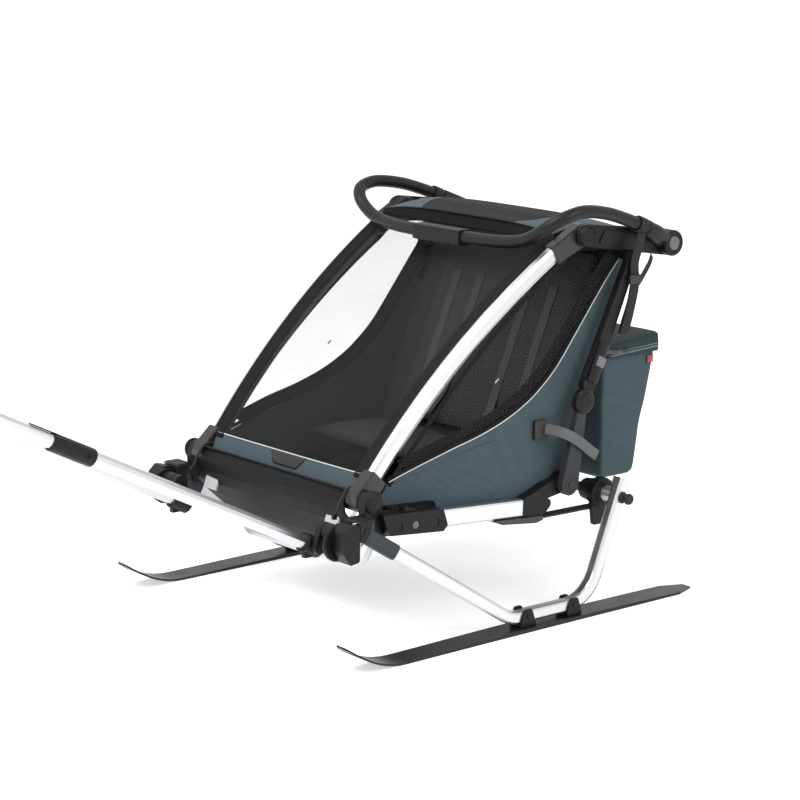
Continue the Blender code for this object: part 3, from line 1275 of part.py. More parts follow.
def seat():
    """Bench with a crowned place for each child and a lowered channel between them."""
    rows = []
    for step in range(8):
        share = step / 7
        y = mix(SEAT_FRONT, SEAT_REAR, share)
        row = []
        for column in range(13):
            across = -1 + column / 6
            place = abs(2 * abs(across) - 1)
            crown = SEAT_CROWN * (1 - place ** 4) * (1 - abs(2 * share - 1) ** 4)
            front_roll = -0.010 * (1 - ramp(0.0, 0.25, share))
            row.append((across * SEAT_HALF_WIDTH * (1 - 0.02 * abs(2 * share - 1) ** 3), y,
                        SEAT_Z + crown + front_roll - 0.02 * share))
        rows.append(row)
    return sheet(rows, SEAT_THICKNESS)


# Cargo

def bag_outline(grow, top):
    """The bag's side outline drawn in or out, up to a height, as (y, z)."""
    return rounded([
        (BAG_FRONT_Y - grow, top, 0), (BAG_FRONT_Y - 0.002 - grow, 0.262 - grow, 0.012),
        (0.352, 0.232 - grow, 0.012), (0.407 + grow, 0.247 - grow, 0.012),
        (0.444 + grow, 0.337, 0.05), (0.473 + grow, 0.451, 0.05), (0.490 + grow, top, 0),
    ], 0.0, 3)


def cargo_bag():
    """Open-topped bag behind the backrest, wider at its rim, with hanging straps to the struts."""
    shell = slab(bag_outline(0.0, BAG_TOP_Z), -BAG_HALF_WIDTH, BAG_HALF_WIDTH, 0.006, "X", 2)
    half = BAG_HALF_WIDTH - BAG_WALL
    hollow = slab(bag_outline(-BAG_WALL, BAG_TOP_Z + 0.02), -half, half, 0.004)
    return cut(shell, hollow)


def bag_lid():
    """Slightly domed lid with a rim that laps over the bag."""
    half = BAG_HALF_WIDTH + LID_WALL + CLOTH_GAP
    front = BAG_FRONT_Y - 0.001
    rear = 0.490 + CLOTH_GAP + LID_WALL
    shape = rounded([(front, BAG_TOP_Z + SLIP), (rear, BAG_TOP_Z - 0.012, 0.003), (rear, LID_REAR_Z, 0.012),
                     (mix(front, rear, 0.5), LID_REAR_Z + 0.002, 0.05), (front, LID_FRONT_Z, 0.006)],
                    0.0, 3)
    dome = slab(shape, -half, half, 0.005, "X", 2)
    hollow = slab([(front - 0.02, BAG_TOP_Z - 0.05), (rear - LID_WALL, BAG_TOP_Z - 0.05),
                   (rear - LID_WALL, BAG_TOP_Z + SLIP), (front - 0.02, BAG_TOP_Z + SLIP)],
                  LID_WALL - half, half - LID_WALL)
    return cut(dome, hollow)


# Assembly

both_sides(side_rail(), "side_rail", ALUMINIUM)
both_sides(receiver(), "receiver", BLACK_PLASTIC)
both_sides(release_button(), "receiver_button", BUTTON_GREY,
           (RECEIVER_OUTER, RELEASE_BUTTON_Y, receiver_middle()))
both_sides(rear_corner(), "rear_corner", ALUMINIUM)
finish(front_cross_tube(), "front_cross_tube", ALUMINIUM)
finish(floor_pan(), "floor_pan", DARK_CLOTH)
finish(front_bumper(), "front_bumper", BLACK_PLASTIC)
for number, side_name in ((1, "left"), (-1, "right")):
    finish(reflector_body(number), "reflector_" + side_name, CLEAR_LENS)
both_sides(leaf_spring(), "leaf_spring", STEEL)
finish(rear_axle(), "rear_axle", STEEL)
both_sides(hub(), "hub", BLACK_PLASTIC)

both_sides(leg_socket(), "leg_socket", GREY_PLASTIC)
both_sides(ski_leg(), "ski_leg", ALUMINIUM)
both_sides(release_knob(), "release_knob", BLACK_PLASTIC, (SKI_X, AXLE_Y, AXLE_Z))
both_sides(ski(), "ski", BLACK_SKI)
both_sides(ski_bracket(BRACKET_POSITIONS[0]), "ski_bracket_front", BLACK_PLASTIC)
both_sides(ski_bracket(BRACKET_POSITIONS[1]), "ski_bracket_rear", BLACK_PLASTIC)

TOW_PIVOT = side_point(TOW_AXIS, POLE_X)
both_sides(tow_bracket(), "tow_bracket", BLACK_PLASTIC)
both_sides(pole_clamp(), "pole_clamp", BLACK_PLASTIC, TOW_PIVOT)
both_sides(tow_pole(), "tow_pole", ALUMINIUM, TOW_PIVOT)
both_sides(pole_sleeve(), "pole_sleeve", BLACK_PLASTIC, TOW_PIVOT)
both_sides(pole_front(), "pole_front", ALUMINIUM, TOW_PIVOT)

both_sides(pillar(), "pillar", ALUMINIUM, side_point(FRONT_PIVOT, pillar_x(0)))
both_sides(roof_bar(), "roof_bar", BLACK_PLASTIC, side_point(ROOF_PIVOT, RAIL_X))
both_sides(strut_lower(), "strut_lower", GREY_PLASTIC, side_point(LOWER_STRUT_PIVOT, RAIL_X))
both_sides(strut_upper(), "strut_upper", BLACK_PLASTIC, side_point(MIDDLE_PIVOT, RAIL_X))
HANDLE_ORIGIN = side_point(HANDLE_PIVOT, 0.0)
finish(handlebar(), "handlebar", BLACK_PAINT, HANDLE_ORIGIN)
finish(handlebar_block(), "handlebar_block", BLACK_PLASTIC, HANDLE_ORIGIN)
both_sides(handlebar_button(), "handlebar_button", BUTTON_GREY, side_point(HANDLE_PIVOT, RAIL_X))

finish(front_cover(), "front_cover", DARK_CLOTH)
both_sides(side_panel(), "side_panel", SLATE_CLOTH)
finish(roof_cover(), "roof_cover", DARK_CLOTH)
finish(backrest(), "backrest", DARK_CLOTH)
finish(seat(), "seat", DARK_CLOTH)
finish(cargo_bag(), "cargo_bag", SLATE_CLOTH)
finish(bag_lid(), "bag_lid", SLATE_CLOTH, (0, BAG_FRONT_Y, LID_FRONT_Z))

# Origin at the middle of the model's box, on the ground
bpy.context.view_layer.update()
corners = [piece.matrix_world @ vertex.co for piece in trailer.objects if piece.type == "MESH"
           for vertex in piece.data.vertices]
middle_x = (min(c.x for c in corners) + max(c.x for c in corners)) / 2
middle_y = (min(c.y for c in corners) + max(c.y for c in corners)) / 2
root.location = (-middle_x, -middle_y, -min(c.z for c in corners))
bpy.data.collections.remove(guides)
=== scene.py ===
import bmesh
import bpy
import numpy as np
from mathutils import Matrix, Vector


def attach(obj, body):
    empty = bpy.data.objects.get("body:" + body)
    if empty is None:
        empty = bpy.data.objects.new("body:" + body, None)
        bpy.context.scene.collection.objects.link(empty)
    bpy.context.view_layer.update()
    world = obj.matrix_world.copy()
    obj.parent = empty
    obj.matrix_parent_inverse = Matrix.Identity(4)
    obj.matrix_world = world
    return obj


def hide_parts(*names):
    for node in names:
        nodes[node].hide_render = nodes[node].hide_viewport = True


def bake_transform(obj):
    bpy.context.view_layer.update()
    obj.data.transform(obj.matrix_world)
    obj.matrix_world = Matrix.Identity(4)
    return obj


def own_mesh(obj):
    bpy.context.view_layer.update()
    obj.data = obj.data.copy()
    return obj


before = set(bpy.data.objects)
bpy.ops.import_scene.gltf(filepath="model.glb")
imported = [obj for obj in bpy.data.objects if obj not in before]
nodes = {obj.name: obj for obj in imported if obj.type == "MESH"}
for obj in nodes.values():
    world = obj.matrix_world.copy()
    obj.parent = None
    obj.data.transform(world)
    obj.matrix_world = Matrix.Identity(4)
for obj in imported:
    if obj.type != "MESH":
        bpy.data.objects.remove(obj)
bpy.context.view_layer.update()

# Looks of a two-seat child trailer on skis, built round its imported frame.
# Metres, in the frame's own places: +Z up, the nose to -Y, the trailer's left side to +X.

# Camera: stands to the front and left of the nose, a little above the roof.
camera_data = bpy.data.cameras.new("camera")
camera_data.lens = 111.2
camera_data.sensor_width = 36.0
camera_data.dof.use_dof = False
camera_data.clip_end = 60.0
camera = bpy.data.objects.new("camera", camera_data)
camera.location = (4.20477, -2.78399, 1.59519)
camera.rotation_euler = Vector((-0.7557, 0.6212, -0.2074)).to_track_quat("-Z", "Y").to_euler()
bpy.context.scene.collection.objects.link(camera)
scene = bpy.context.scene
scene.camera = camera
scene.view_settings.view_transform = "Standard"

# Studio: white surroundings that light more softly than they look, one broad lamp above the nose
# and a weaker one to the left.
SURROUND_LIGHT = 0.66


def fill(tree, socket, value):
    """Links a socket to another one, or sets its value."""
    if isinstance(value, bpy.types.NodeSocket):
        tree.links.new(value, socket)
    else:
        socket.default_value = value


def calculate(tree, operation, first, second=0.5, third=0.5):
    """One step of arithmetic on sockets or numbers."""
    node = tree.nodes.new("ShaderNodeMath")
    node.operation = operation
    for socket, value in zip(node.inputs, (first, second, third)):
        fill(tree, socket, value)
    return node.outputs[0]


def seen_directly(tree):
    """1 for rays from the camera, a mirror or a clear thing, 0 for light that falls on surfaces."""
    rays = tree.nodes.new("ShaderNodeLightPath")
    direct = calculate(tree, "MAXIMUM", rays.outputs["Is Camera Ray"], rays.outputs["Is Glossy Ray"])
    return calculate(tree, "MAXIMUM", direct, rays.outputs["Is Transmission Ray"])


def lamp(name, place, aim, size, power):
    """A square lamp of that size at a place, facing a point."""
    data = bpy.data.lights.new(name, "AREA")
    data.size = size
    data.energy = power
    lit = bpy.data.objects.new(name, data)
    lit.location = place
    lit.rotation_euler = (Vector(aim) - Vector(place)).to_track_quat("-Z", "Y").to_euler()
    scene.collection.objects.link(lit)


world = bpy.data.worlds.new("studio")
world.use_nodes = True
sky_tree = world.node_tree
sky = sky_tree.nodes["Background"]
sky.inputs["Color"].default_value = (1, 1, 1, 1)
fill(sky_tree, sky.inputs["Strength"],
     calculate(sky_tree, "MULTIPLY_ADD", seen_directly(sky_tree), 1 - SURROUND_LIGHT, SURROUND_LIGHT))
scene.world = world
lamp("key_lamp", (-0.6, -2.4, 4.2), (0.0, 0.6, 0.4), 2.6, 175)
lamp("side_lamp", (3.6, 1.6, 2.6), (0.2, 0.8, 0.4), 2.0, 55)


# Surface effects: cloth weave, moulded grain and brushed metal. Each is one node group, with a
# place and a scale going in and tint, roughness and height coming out.
def add_node(tree, kind, **inputs):
    """A node of that kind with its named inputs set to values or linked to sockets."""
    node = tree.nodes.new(kind)
    for name, value in inputs.items():
        fill(tree, node.inputs[name.replace("_", " ")], value)
    return node


def spread(tree, value, factor, offset):
    """A value times a factor, plus an offset."""
    return calculate(tree, "MULTIPLY_ADD", value, factor, offset)


def noise(tree, place, scale, detail, **more):
    """Cloudy values from 0 to 1."""
    return add_node(tree, "ShaderNodeTexNoise", Vector=place, Scale=scale, Detail=detail,
                    **more).outputs["Fac"]


def weave(tree, place, scale):
    """Threads crossing over and under each other, with slow changes of shade along the cloth."""
    threads = []
    for direction in "XY":
        wave = add_node(tree, "ShaderNodeTexWave", Vector=place, Scale=scale, Distortion=0.6, Detail=1.0)
        wave.bands_direction = direction
        threads.append(wave.outputs["Fac"])
    height = calculate(tree, "MAXIMUM", *threads)
    cloud = noise(tree, place, 9.0, 4.0)
    fuzz = noise(tree, place, calculate(tree, "MULTIPLY", scale, 2.2), 2.0)
    return (calculate(tree, "MULTIPLY", spread(tree, cloud, 0.22, 0.82), spread(tree, height, 0.16, 0.86)),
            spread(tree, cloud, 0.1, -0.05), spread(tree, fuzz, 0.35, height))


def grain(tree, place, scale):
    """Fine moulded texture, with broad patches that are a little more or less polished."""
    pits = noise(tree, place, scale, 3.0, Roughness=0.6)
    patch = noise(tree, place, 14.0, 5.0)
    marks = calculate(tree, "GREATER_THAN", noise(tree, place, 60.0, 6.0, Distortion=1.5), 0.66)
    return (spread(tree, marks, 0.1, spread(tree, patch, 0.24, 0.88)),
            spread(tree, marks, 0.08, spread(tree, patch, 0.24, -0.12)), pits)


def brushed(tree, place, scale):
    """Satin metal: long faint scratches and a slow change of polish."""
    drawn = add_node(tree, "ShaderNodeMapping", Vector=place, Scale=(40.0, 1.0, 40.0))
    lines = noise(tree, drawn.outputs[0], scale, 4.0)
    cloud = noise(tree, place, 7.0, 3.0)
    return spread(tree, lines, 0.06, 0.96), spread(tree, cloud, 0.14, -0.07), lines


def effect_group(build):
    """The node group of one effect, built once."""
    tree = bpy.data.node_groups.new(build.__name__, "ShaderNodeTree")
    tree.interface.new_socket("Vector", in_out="INPUT", socket_type="NodeSocketVector")
    tree.interface.new_socket("Scale", in_out="INPUT", socket_type="NodeSocketFloat")
    for output in ("Tint", "Roughness", "Height"):
        tree.interface.new_socket(output, in_out="OUTPUT", socket_type="NodeSocketFloat")
    come, out = tree.nodes.new("NodeGroupInput"), tree.nodes.new("NodeGroupOutput")
    for socket, value in zip(out.inputs, build(tree, come.outputs["Vector"], come.outputs["Scale"])):
        tree.links.new(value, socket)
    return tree


EFFECTS = {build.__name__: effect_group(build) for build in (weave, grain, brushed)}
RELIEF_DEPTH = 0.0006


def display(red, green, blue):
    """A colour read from a picture as 0 to 255, as linear light."""
    def linear(value):
        share = value / 255
        return share / 12.92 if share <= 0.04045 else ((share + 0.055) / 1.055) ** 2.4
    return linear(red), linear(green), linear(blue), 1.0


def start_surface(name, coordinates="Object"):
    """A new material: itself, its tree, its shader and the place that its effect is laid by."""
    surface = bpy.data.materials.new(name)
    surface.use_nodes = True
    tree = surface.node_tree
    place = tree.nodes.new("ShaderNodeTexCoord").outputs[coordinates]
    return surface, tree, tree.nodes["Principled BSDF"], place


def mix_colours(tree, share, first, second, blend="MIX"):
    """Two colours mixed; share and colours are values or sockets."""
    mix = tree.nodes.new("ShaderNodeMix")
    mix.data_type = "RGBA"
    mix.blend_type = blend
    for number, value in ((0, share), (6, first), (7, second)):
        fill(tree, mix.inputs[number], value)
    return mix.outputs[2]


def lay_effect(tree, shader, place, effect, scale, colour, roughness, bump, depth):
    """Feeds an effect's tint, polish and height to a shader and returns the effect's node."""
    pattern = tree.nodes.new("ShaderNodeGroup")
    pattern.node_tree = EFFECTS[effect]
    fill(tree, pattern.inputs["Vector"], place)
    fill(tree, pattern.inputs["Scale"], scale)
    tint = mix_colours(tree, 1.0, colour, pattern.outputs["Tint"], "MULTIPLY")
    polish = calculate(tree, "ADD", pattern.outputs["Roughness"], roughness)
    relief = add_node(tree, "ShaderNodeBump", Strength=bump, Distance=depth,
                      Height=pattern.outputs["Height"])
    for name, value in (("Base Color", tint), ("Roughness", polish), ("Normal", relief.outputs[0])):
        fill(tree, shader.inputs[name], value)
    return pattern


def finish_of(name, colour, roughness, metal=0.0, effect="grain", scale=900.0, bump=0.15, coat=0.0,
              sheen=0.0, shine=0.5):
    """A Principled surface whose tint, polish and height come from one of the effect groups."""
    surface, tree, shader, place = start_surface(name)
    lay_effect(tree, shader, place, effect, scale, colour, roughness, bump, RELIEF_DEPTH)
    for socket, value in (("Metallic", metal), ("Coat Weight", coat), ("Coat Roughness", 0.2),
                          ("Specular IOR Level", shine), ("Sheen Weight", sheen), ("Sheen Roughness", 0.5)):
        shader.inputs[socket].default_value = value
    return surface


def under_plane(tree, direction, limit):
    """1 where a place on the piece, measured along a direction, stays under a limit, else 0."""
    along = tree.nodes.new("ShaderNodeVectorMath")
    along.operation = "DOT_PRODUCT"
    fill(tree, along.inputs[0], tree.nodes.new("ShaderNodeTexCoord").outputs["Object"])
    fill(tree, along.inputs[1], direction)
    return calculate(tree, "LESS_THAN", along.outputs["Value"], limit)


def recolour(surface, mask, colour):
    """Gives a surface another colour where the mask is 1."""
    tree = surface.node_tree
    base = tree.nodes["Principled BSDF"].inputs["Base Color"]
    fill(tree, base, mix_colours(tree, mask, base.links[0].from_socket, colour))


def put_on(surface, *names):
    """Gives carried-over CAD nodes their surface."""
    for name in names:
        for place in nodes[name].material_slots:
            place.material = surface


def both(*stems):
    """The left and right names of paired nodes."""
    return [stem + side for stem in stems for side in ("_left", "_right")]


SIDES = ((1, "_left"), (-1, "_right"))
ALUMINIUM = dict(colour=display(208, 209, 211), roughness=0.32, metal=1.0, effect="brushed", scale=20.0,
                 bump=0.04)
MOULDED = dict(colour=display(23, 23, 25), roughness=0.4, scale=1100.0, bump=0.12, shine=0.2)

# Carried-over frame parts: satin aluminium tubes, moulded black plastic, dark steel springs.
put_on(finish_of("rail_metal", **ALUMINIUM), *both("side_rail"), "front_cross_tube")
put_on(finish_of("pole_metal", **ALUMINIUM), *both("tow_pole", "pole_front"))
put_on(finish_of("leg_metal", **ALUMINIUM), *both("ski_leg"))
put_on(finish_of("moulded_black", **MOULDED), *both("receiver", "rear_corner", "hub", "tow_bracket",
                                                   "pole_clamp", "pole_sleeve", "roof_bar", "strut_upper",
                                                   "ski_bracket_front", "ski_bracket_rear"),
       "handlebar_block")
put_on(finish_of("bumper_black", display(18, 18, 20), 0.5, scale=700.0, shine=0.14), "front_bumper")
put_on(finish_of("strut_grey", display(56, 57, 60), 0.45, shine=0.2), *both("strut_lower"))
# The leg sockets are black up to a plane square to the leg and grey beyond it.
LEG_DIRECTION, SOCKET_SPLIT = (0, 0.86, -0.51), 0.116
socket_grey = finish_of("socket_grey", display(60, 65, 70), 0.5, shine=0.2)
recolour(socket_grey, under_plane(socket_grey.node_tree, LEG_DIRECTION, SOCKET_SPLIT), display(32, 32, 34))
put_on(socket_grey, *both("leg_socket"))
put_on(finish_of("button_grey", display(96, 99, 104), 0.42), *both("receiver_button", "handlebar_button"))
put_on(finish_of("knob_black", display(32, 32, 34), 0.4, shine=0.25), *both("release_knob"))
put_on(finish_of("ski_black", display(20, 20, 22), 0.36, scale=300.0, bump=0.02, shine=0.3), *both("ski"))
put_on(finish_of("spring_dark", display(70, 70, 73), 0.4, metal=0.8, effect="brushed", scale=30.0),
       *both("leaf_spring"), "rear_axle")
put_on(finish_of("tray_cloth", display(32, 32, 34), 0.85, effect="weave", scale=120.0, bump=0.2,
                 shine=0.1), "floor_pan")
put_on(finish_of("lens_clear", display(196, 198, 202), 0.12, effect="brushed", scale=90.0, bump=0.8,
                 coat=0.6), *both("reflector"))

# Pillars: bowed oval tubes of satin aluminium with a soft groove along the outside, which end
# in moulded black sockets. One node holds tube and sockets, so the finish changes at their mouths.
PILLAR_FOOT = np.array([0.3569, 0.343])
PILLAR_HEAD = np.array([0.8709, 0.802])
PILLAR_BOW = 0.031
FRONT_PIVOT = (0.3329, 0.322)
ROOF_PIVOT = (0.9319, 0.827)
SOCKET_DEPTH = 0.026
ARC_STEP = 0.0278  # length of the arc's first or last 4 %


def pillar_arc(share, outwards=0.0):
    """Points (y, z) of a circle's arc through the pillar's foot and head that rises 31 mm over
    their chord; share runs from 0 at the foot to 1 at the head, outwards moves square to it."""
    share = np.asarray(share, float)
    chord = PILLAR_HEAD - PILLAR_FOOT
    length = np.hypot(*chord)
    normal = np.array([-chord[1], chord[0]]) / length
    radius = (length ** 2 / 4 + PILLAR_BOW ** 2) / (2 * PILLAR_BOW)
    half = np.arcsin(length / 2 / radius)
    centre = PILLAR_FOOT + chord / 2 - normal * (radius - PILLAR_BOW)
    turn = half - 2 * half * share
    spoke = np.stack([np.cos(turn) * normal[0] - np.sin(turn) * normal[1],
                      np.sin(turn) * normal[0] + np.cos(turn) * normal[1]], -1)
    return centre + spoke * (radius + np.asarray(outwards, float)[..., None])


def pillar_x(share):
    """Distance of the pillar's centre line from the middle: 277 mm at the foot, 304 at the head."""
    return 0.277 + 0.027 * np.asarray(share, float)


def pillar_finish():
    """Aluminium between two planes square to the sockets, black plastic beyond them."""
    surface = finish_of("pillar_metal", **ALUMINIUM)
    tree = surface.node_tree
    masks = []
    for pivot, end, inward in ((FRONT_PIVOT, 0.0, 0.04), (ROOF_PIVOT, 1.0, 0.96)):
        mouth = pillar_arc(end) + (pillar_arc(inward) - pillar_arc(end)) * SOCKET_DEPTH / ARC_STEP
        way = mouth - np.array(pivot)
        reach = float(np.hypot(*way))
        way /= reach
        start = float(way[0] * pivot[0] + way[1] * pivot[1])
        masks.append(under_plane(tree, (0, *way), start + reach + 0.0003))
    socket = calculate(tree, "MAXIMUM", *masks)
    fill(tree, tree.nodes["Principled BSDF"].inputs["Metallic"], calculate(tree, "SUBTRACT", 1.0, socket))
    recolour(surface, socket, display(36, 36, 38))
    return surface


put_on(pillar_finish(), *both("pillar"))


# Handlebar: one bent steel tube, painted satin black, that ends in round drums on the roof
# bars' hubs. It swings back over the bag.
def quads(rows, columns, closed):
    """Corner numbers of a grid's squares, with the last column joined to the first if closed."""
    row = np.arange(rows - 1)[:, None] * columns
    column = np.arange(columns if closed else columns - 1)[None, :]
    following = (column + 1) % columns
    corners = [row + column, row + following, row + columns + following, row + columns + column]
    return np.stack(corners, -1).reshape(-1, 4)


def show_mesh(name, mesh, surface, smooth=True):
    """An object of that mesh, in the scene, with its surface."""
    mesh.polygons.foreach_set("use_smooth", np.full(len(mesh.polygons), smooth))
    mesh.materials.append(surface)
    made = bpy.data.objects.new(name, mesh)
    scene.collection.objects.link(made)
    return made


def make_piece(name, places, closed, surface, caps=False):
    """A mesh from a grid of places (rows, columns, 3), with its UV map in metres along the grid."""
    places = np.asarray(places, float)
    rows, columns = places.shape[:2]
    corners = quads(rows, columns, closed)
    faces = corners.tolist()
    if caps:
        faces += [list(range(columns))[::-1], list(range((rows - 1) * columns, rows * columns))]
    mesh = bpy.data.meshes.new(name)
    mesh.from_pydata(places.reshape(-1, 3).tolist(), [], faces)
    beside = np.linalg.norm(np.diff(places, axis=1, append=places[:, :1]), axis=2)
    ahead = np.linalg.norm(np.diff(places, axis=0, prepend=places[:1]), axis=2)
    u = np.concatenate([np.zeros((rows, 1)), np.cumsum(beside, axis=1)], 1)
    v = np.cumsum(ahead, axis=0)
    row, column = corners // columns, corners % columns
    following = column.copy()
    following[:, 1] = column[:, 0] + 1
    following[:, 2] = column[:, 3] + 1
    pairs = np.stack([u[row, following], v[row, column]], -1).reshape(-1, 2)
    if caps:
        pairs = np.concatenate([pairs, np.zeros((2 * columns, 2))])
    layer = mesh.uv_layers.new(name="UVMap")
    layer.data.foreach_set("uv", pairs.ravel().astype(np.float32))
    return show_mesh(name, mesh, surface)


def thicken(made, thickness, offset=-1.0, lining=None):
    """Gives a sheet its thickness, inwards unless told otherwise, and its inner face a lining."""
    wall = made.modifiers.new("thickness", "SOLIDIFY")
    wall.thickness = thickness
    wall.offset = offset
    if lining:
        made.data.materials.append(lining)
        wall.material_offset = 1
    return made


def smooth_line(points, count):
    """Catmull-Rom curve through the points, sampled evenly along its length."""
    points = np.asarray(points, float)
    ends = np.concatenate([[2 * points[0] - points[1]], points, [2 * points[-1] - points[-2]]])
    step = np.linspace(0, 1, 24, endpoint=False)[:, None]
    parts = [0.5 * (2 * b + (c - a) * step + (2 * a - 5 * b + 4 * c - d) * step ** 2
                    + (3 * b - a - 3 * c + d) * step ** 3)
             for a, b, c, d in zip(ends, ends[1:], ends[2:], ends[3:])]
    return even_line(np.concatenate(parts + [points[-1:]]), count)


def even_line(points, count):
    """Points at equal distances along a chain of points."""
    points = np.asarray(points, float)
    walked = np.concatenate([[0], np.cumsum(np.linalg.norm(np.diff(points, axis=0), axis=1))])
    wanted = np.linspace(0, walked[-1], count)
    return np.stack([np.interp(wanted, walked, points[:, axis]) for axis in range(points.shape[1])], -1)


def grid(x, y, z):
    """Places from their x, y and z, spread to one shape."""
    return np.stack(np.broadcast_arrays(x, y, z), -1)


def heading(line):
    """Unit vectors along a chain of points."""
    ahead = np.gradient(line, axis=0)
    return ahead / np.linalg.norm(ahead, axis=1, keepdims=True)


def carry(line, across, profile):
    """Rings of a profile carried along a line: profile x runs along `across`, profile y along the
    line's direction crossed with it. Counter-clockwise profiles face outwards."""
    line = np.asarray(line, float)
    ahead = heading(line)
    across = np.broadcast_to(np.asarray(across, float), line.shape)
    across = across - ahead * np.sum(across * ahead, axis=1, keepdims=True)
    across = across / np.linalg.norm(across, axis=1, keepdims=True)
    upward = np.cross(ahead, across)
    return line[:, None] + across[:, None] * profile[:, :1] + upward[:, None] * profile[:, 1:]


def strand(name, line, across, profile, surface):
    """A solid piece of one profile along a line."""
    return make_piece(name, carry(line, across, profile), True, surface, caps=True)


def round_profile(radius, count=16):
    """Points of a circle."""
    turn = np.linspace(0, 2 * np.pi, count, endpoint=False)
    return np.stack([np.cos(turn), np.sin(turn)], -1) * radius


def flat_profile(width, thickness):
    """A flat band's section with rounded edges: two straight sides and two half circles."""
    turn = np.linspace(-np.pi / 2, np.pi / 2, 5)
    edge = np.stack([np.cos(turn), np.sin(turn)], -1) * thickness / 2
    flat = [width / 2 - thickness / 2, 0]
    return np.concatenate([edge + flat, -edge - flat])


def mirrored(side, places):
    """A grid made for the left, on that side; the right's columns are turned to face outwards."""
    return places if side > 0 else places[:, ::-1] * [-1, 1, 1]


def sided(side, points):
    """Points (x, y, z) made for the left, on that side."""
    return np.array(points) * [side, 1, 1]


def trim(name, side, points, count, across, profile, surface):
    """A strand on one side, along a curve through points that were made for the left."""
    return strand(name, smooth_line(sided(side, points), count), across, profile, surface)


def spun(profile, centre, side):
    """Rings of a profile (distance along X, radius) turned about the X direction through a centre."""
    reach, radius = np.array(profile).T[..., None]
    turn = np.linspace(0, 2 * np.pi, 40, endpoint=False) * side
    return grid(centre[0] + side * reach, centre[1] + radius * np.cos(turn),
                centre[2] + radius * np.sin(turn))


def merge_pieces(name, parts):
    """One object from several made pieces."""
    whole = bmesh.new()
    for part in parts:
        whole.from_mesh(part.data)
    whole.to_mesh(parts[0].data)
    whole.free()
    for part in parts[1:]:
        bpy.data.objects.remove(part)
    parts[0].name = parts[0].data.name = name
    return parts[0]


HANDLE_TURNS = [(0.344, 1.1549, 0.805), (0.35, 1.1219, 0.823), (0.35, 1.0719, 0.841), (0.35, 1.0249, 0.858),
                (0.354, 0.9639, 0.876), (0.358, 0.8939, 0.8855), (0.352, 0.8439, 0.876),
                (0.326, 0.8189, 0.856), (0.29, 0.8109, 0.833), (0.245, 0.8069, 0.8165),
                (0.17, 0.7989, 0.8095), (0.08, 0.7929, 0.8085)]
bar_paint = finish_of("bar_paint", display(25, 25, 27), 0.4, scale=600.0, bump=0.08, shine=0.25)
drum_plastic = finish_of("drum_plastic", **MOULDED)
both_halves = np.array(HANDLE_TURNS + [(-x, y, z) for x, y, z in HANDLE_TURNS[::-1]])
BAR_RADIUS = 0.0145
bar = strand("handlebar_tube", smooth_line(both_halves, 260), (0.02, 0.3, -1.0),
             round_profile(BAR_RADIUS, 28), bar_paint)
HANDLE_PIVOT = (1.1799, 0.79)
DRUM = [(0.0, 0.001), (0.0, 0.0285), (0.001, 0.0293), (0.007, 0.0293), (0.0078, 0.0283), (0.0086, 0.0293),
        (0.0198, 0.0293), (0.0224, 0.028), (0.0238, 0.0255), (0.024, 0.024), (0.0234, 0.02),
        (0.0234, 0.0172), (0.0096, 0.0168), (0.0096, 0.001)]
COLLAR = [(0.0, 0.015), (0.0015, 0.0172), (0.006, 0.0182), (0.05, 0.02), (0.088, 0.0195)]
drums = [make_piece("drum", spun(DRUM, (side * 0.3285, *HANDLE_PIVOT), side), True, drum_plastic, caps=True)
         for side in (1, -1)]
drum_pair = merge_pieces("handlebar_drums", drums)
reach, radius = np.array(COLLAR).T[..., None, None]
circle = round_profile(1.0, 32)
collars = []
for side in (1, -1):
    start, end = np.array([side * 0.35, 1.088, 0.835]), np.array([side * 0.3305, 1.168, 0.7965])
    ahead = (end - start) / np.linalg.norm(end - start)
    upward = np.cross(ahead, (1.0, 0, 0))
    upward /= np.linalg.norm(upward)
    ring = circle[:, :1] * np.cross(ahead, upward) + circle[:, 1:] * upward
    collars.append(make_piece("collar", start + ahead * reach + radius * ring, True, drum_plastic, caps=True))
collar_pair = merge_pieces("handlebar_collars", collars)
for made in (bar, drum_pair, collar_pair):
    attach(made, "handlebar_arm")
    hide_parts("handlebar")


# Front cover: a tinted mesh window stretched between the pillars, with black hems that wrap round
# the pillars' fronts, a header under the roof seam and a slate band over the bumper.
def straight_ramp(value, low, high):
    """0 below low, 1 above high and a straight line between."""
    return np.clip((np.asarray(value, float) - low) / (high - low), 0, 1)


def line_length(points):
    """Length of a chain of points."""
    return float(np.linalg.norm(np.diff(points, axis=0), axis=1).sum())


front_shares = np.linspace(0.06, 1, 60)
front_profile = np.concatenate([[[0.336, 0.33], [0.356, 0.367]], pillar_arc(front_shares, 0.0167),
                                [[0.8685, 0.8415]]])
front_profile = even_line(front_profile, 140)
front_length = line_length(front_profile)
PILLAR_RADIUS = 0.0145
BAND_HALF = 0.2625
FRONT_SINK = 0.006


def front_places(start, end, rows, columns, proud=0.0, inset=0.0):
    """Grid on the stretched front: rows from one distance up the cover to another, columns from the
    right side to the left, sunk 6 mm in the middle, and proud of the cloth by so much."""
    walked = np.linspace(0, front_length, len(front_profile))
    wanted = np.linspace(start, end, rows)
    y, z = (np.interp(wanted, walked, front_profile[:, axis])[:, None] for axis in (0, 1))
    share = np.clip(wanted / front_length, 0, 1)
    half = pillar_x(share) - PILLAR_RADIUS - 0.004 * straight_ramp(share, 0.7, 1.0)
    half = BAND_HALF + (half - BAND_HALF) * straight_ramp(share, 0.05, 0.2) - inset
    ahead = heading(np.concatenate([y, z], -1))
    across = np.linspace(-1, 1, columns)
    sink = FRONT_SINK * (1 - across ** 2) - proud
    return grid(across * half[:, None], y + sink * ahead[:, 1:], z - sink * ahead[:, :1])


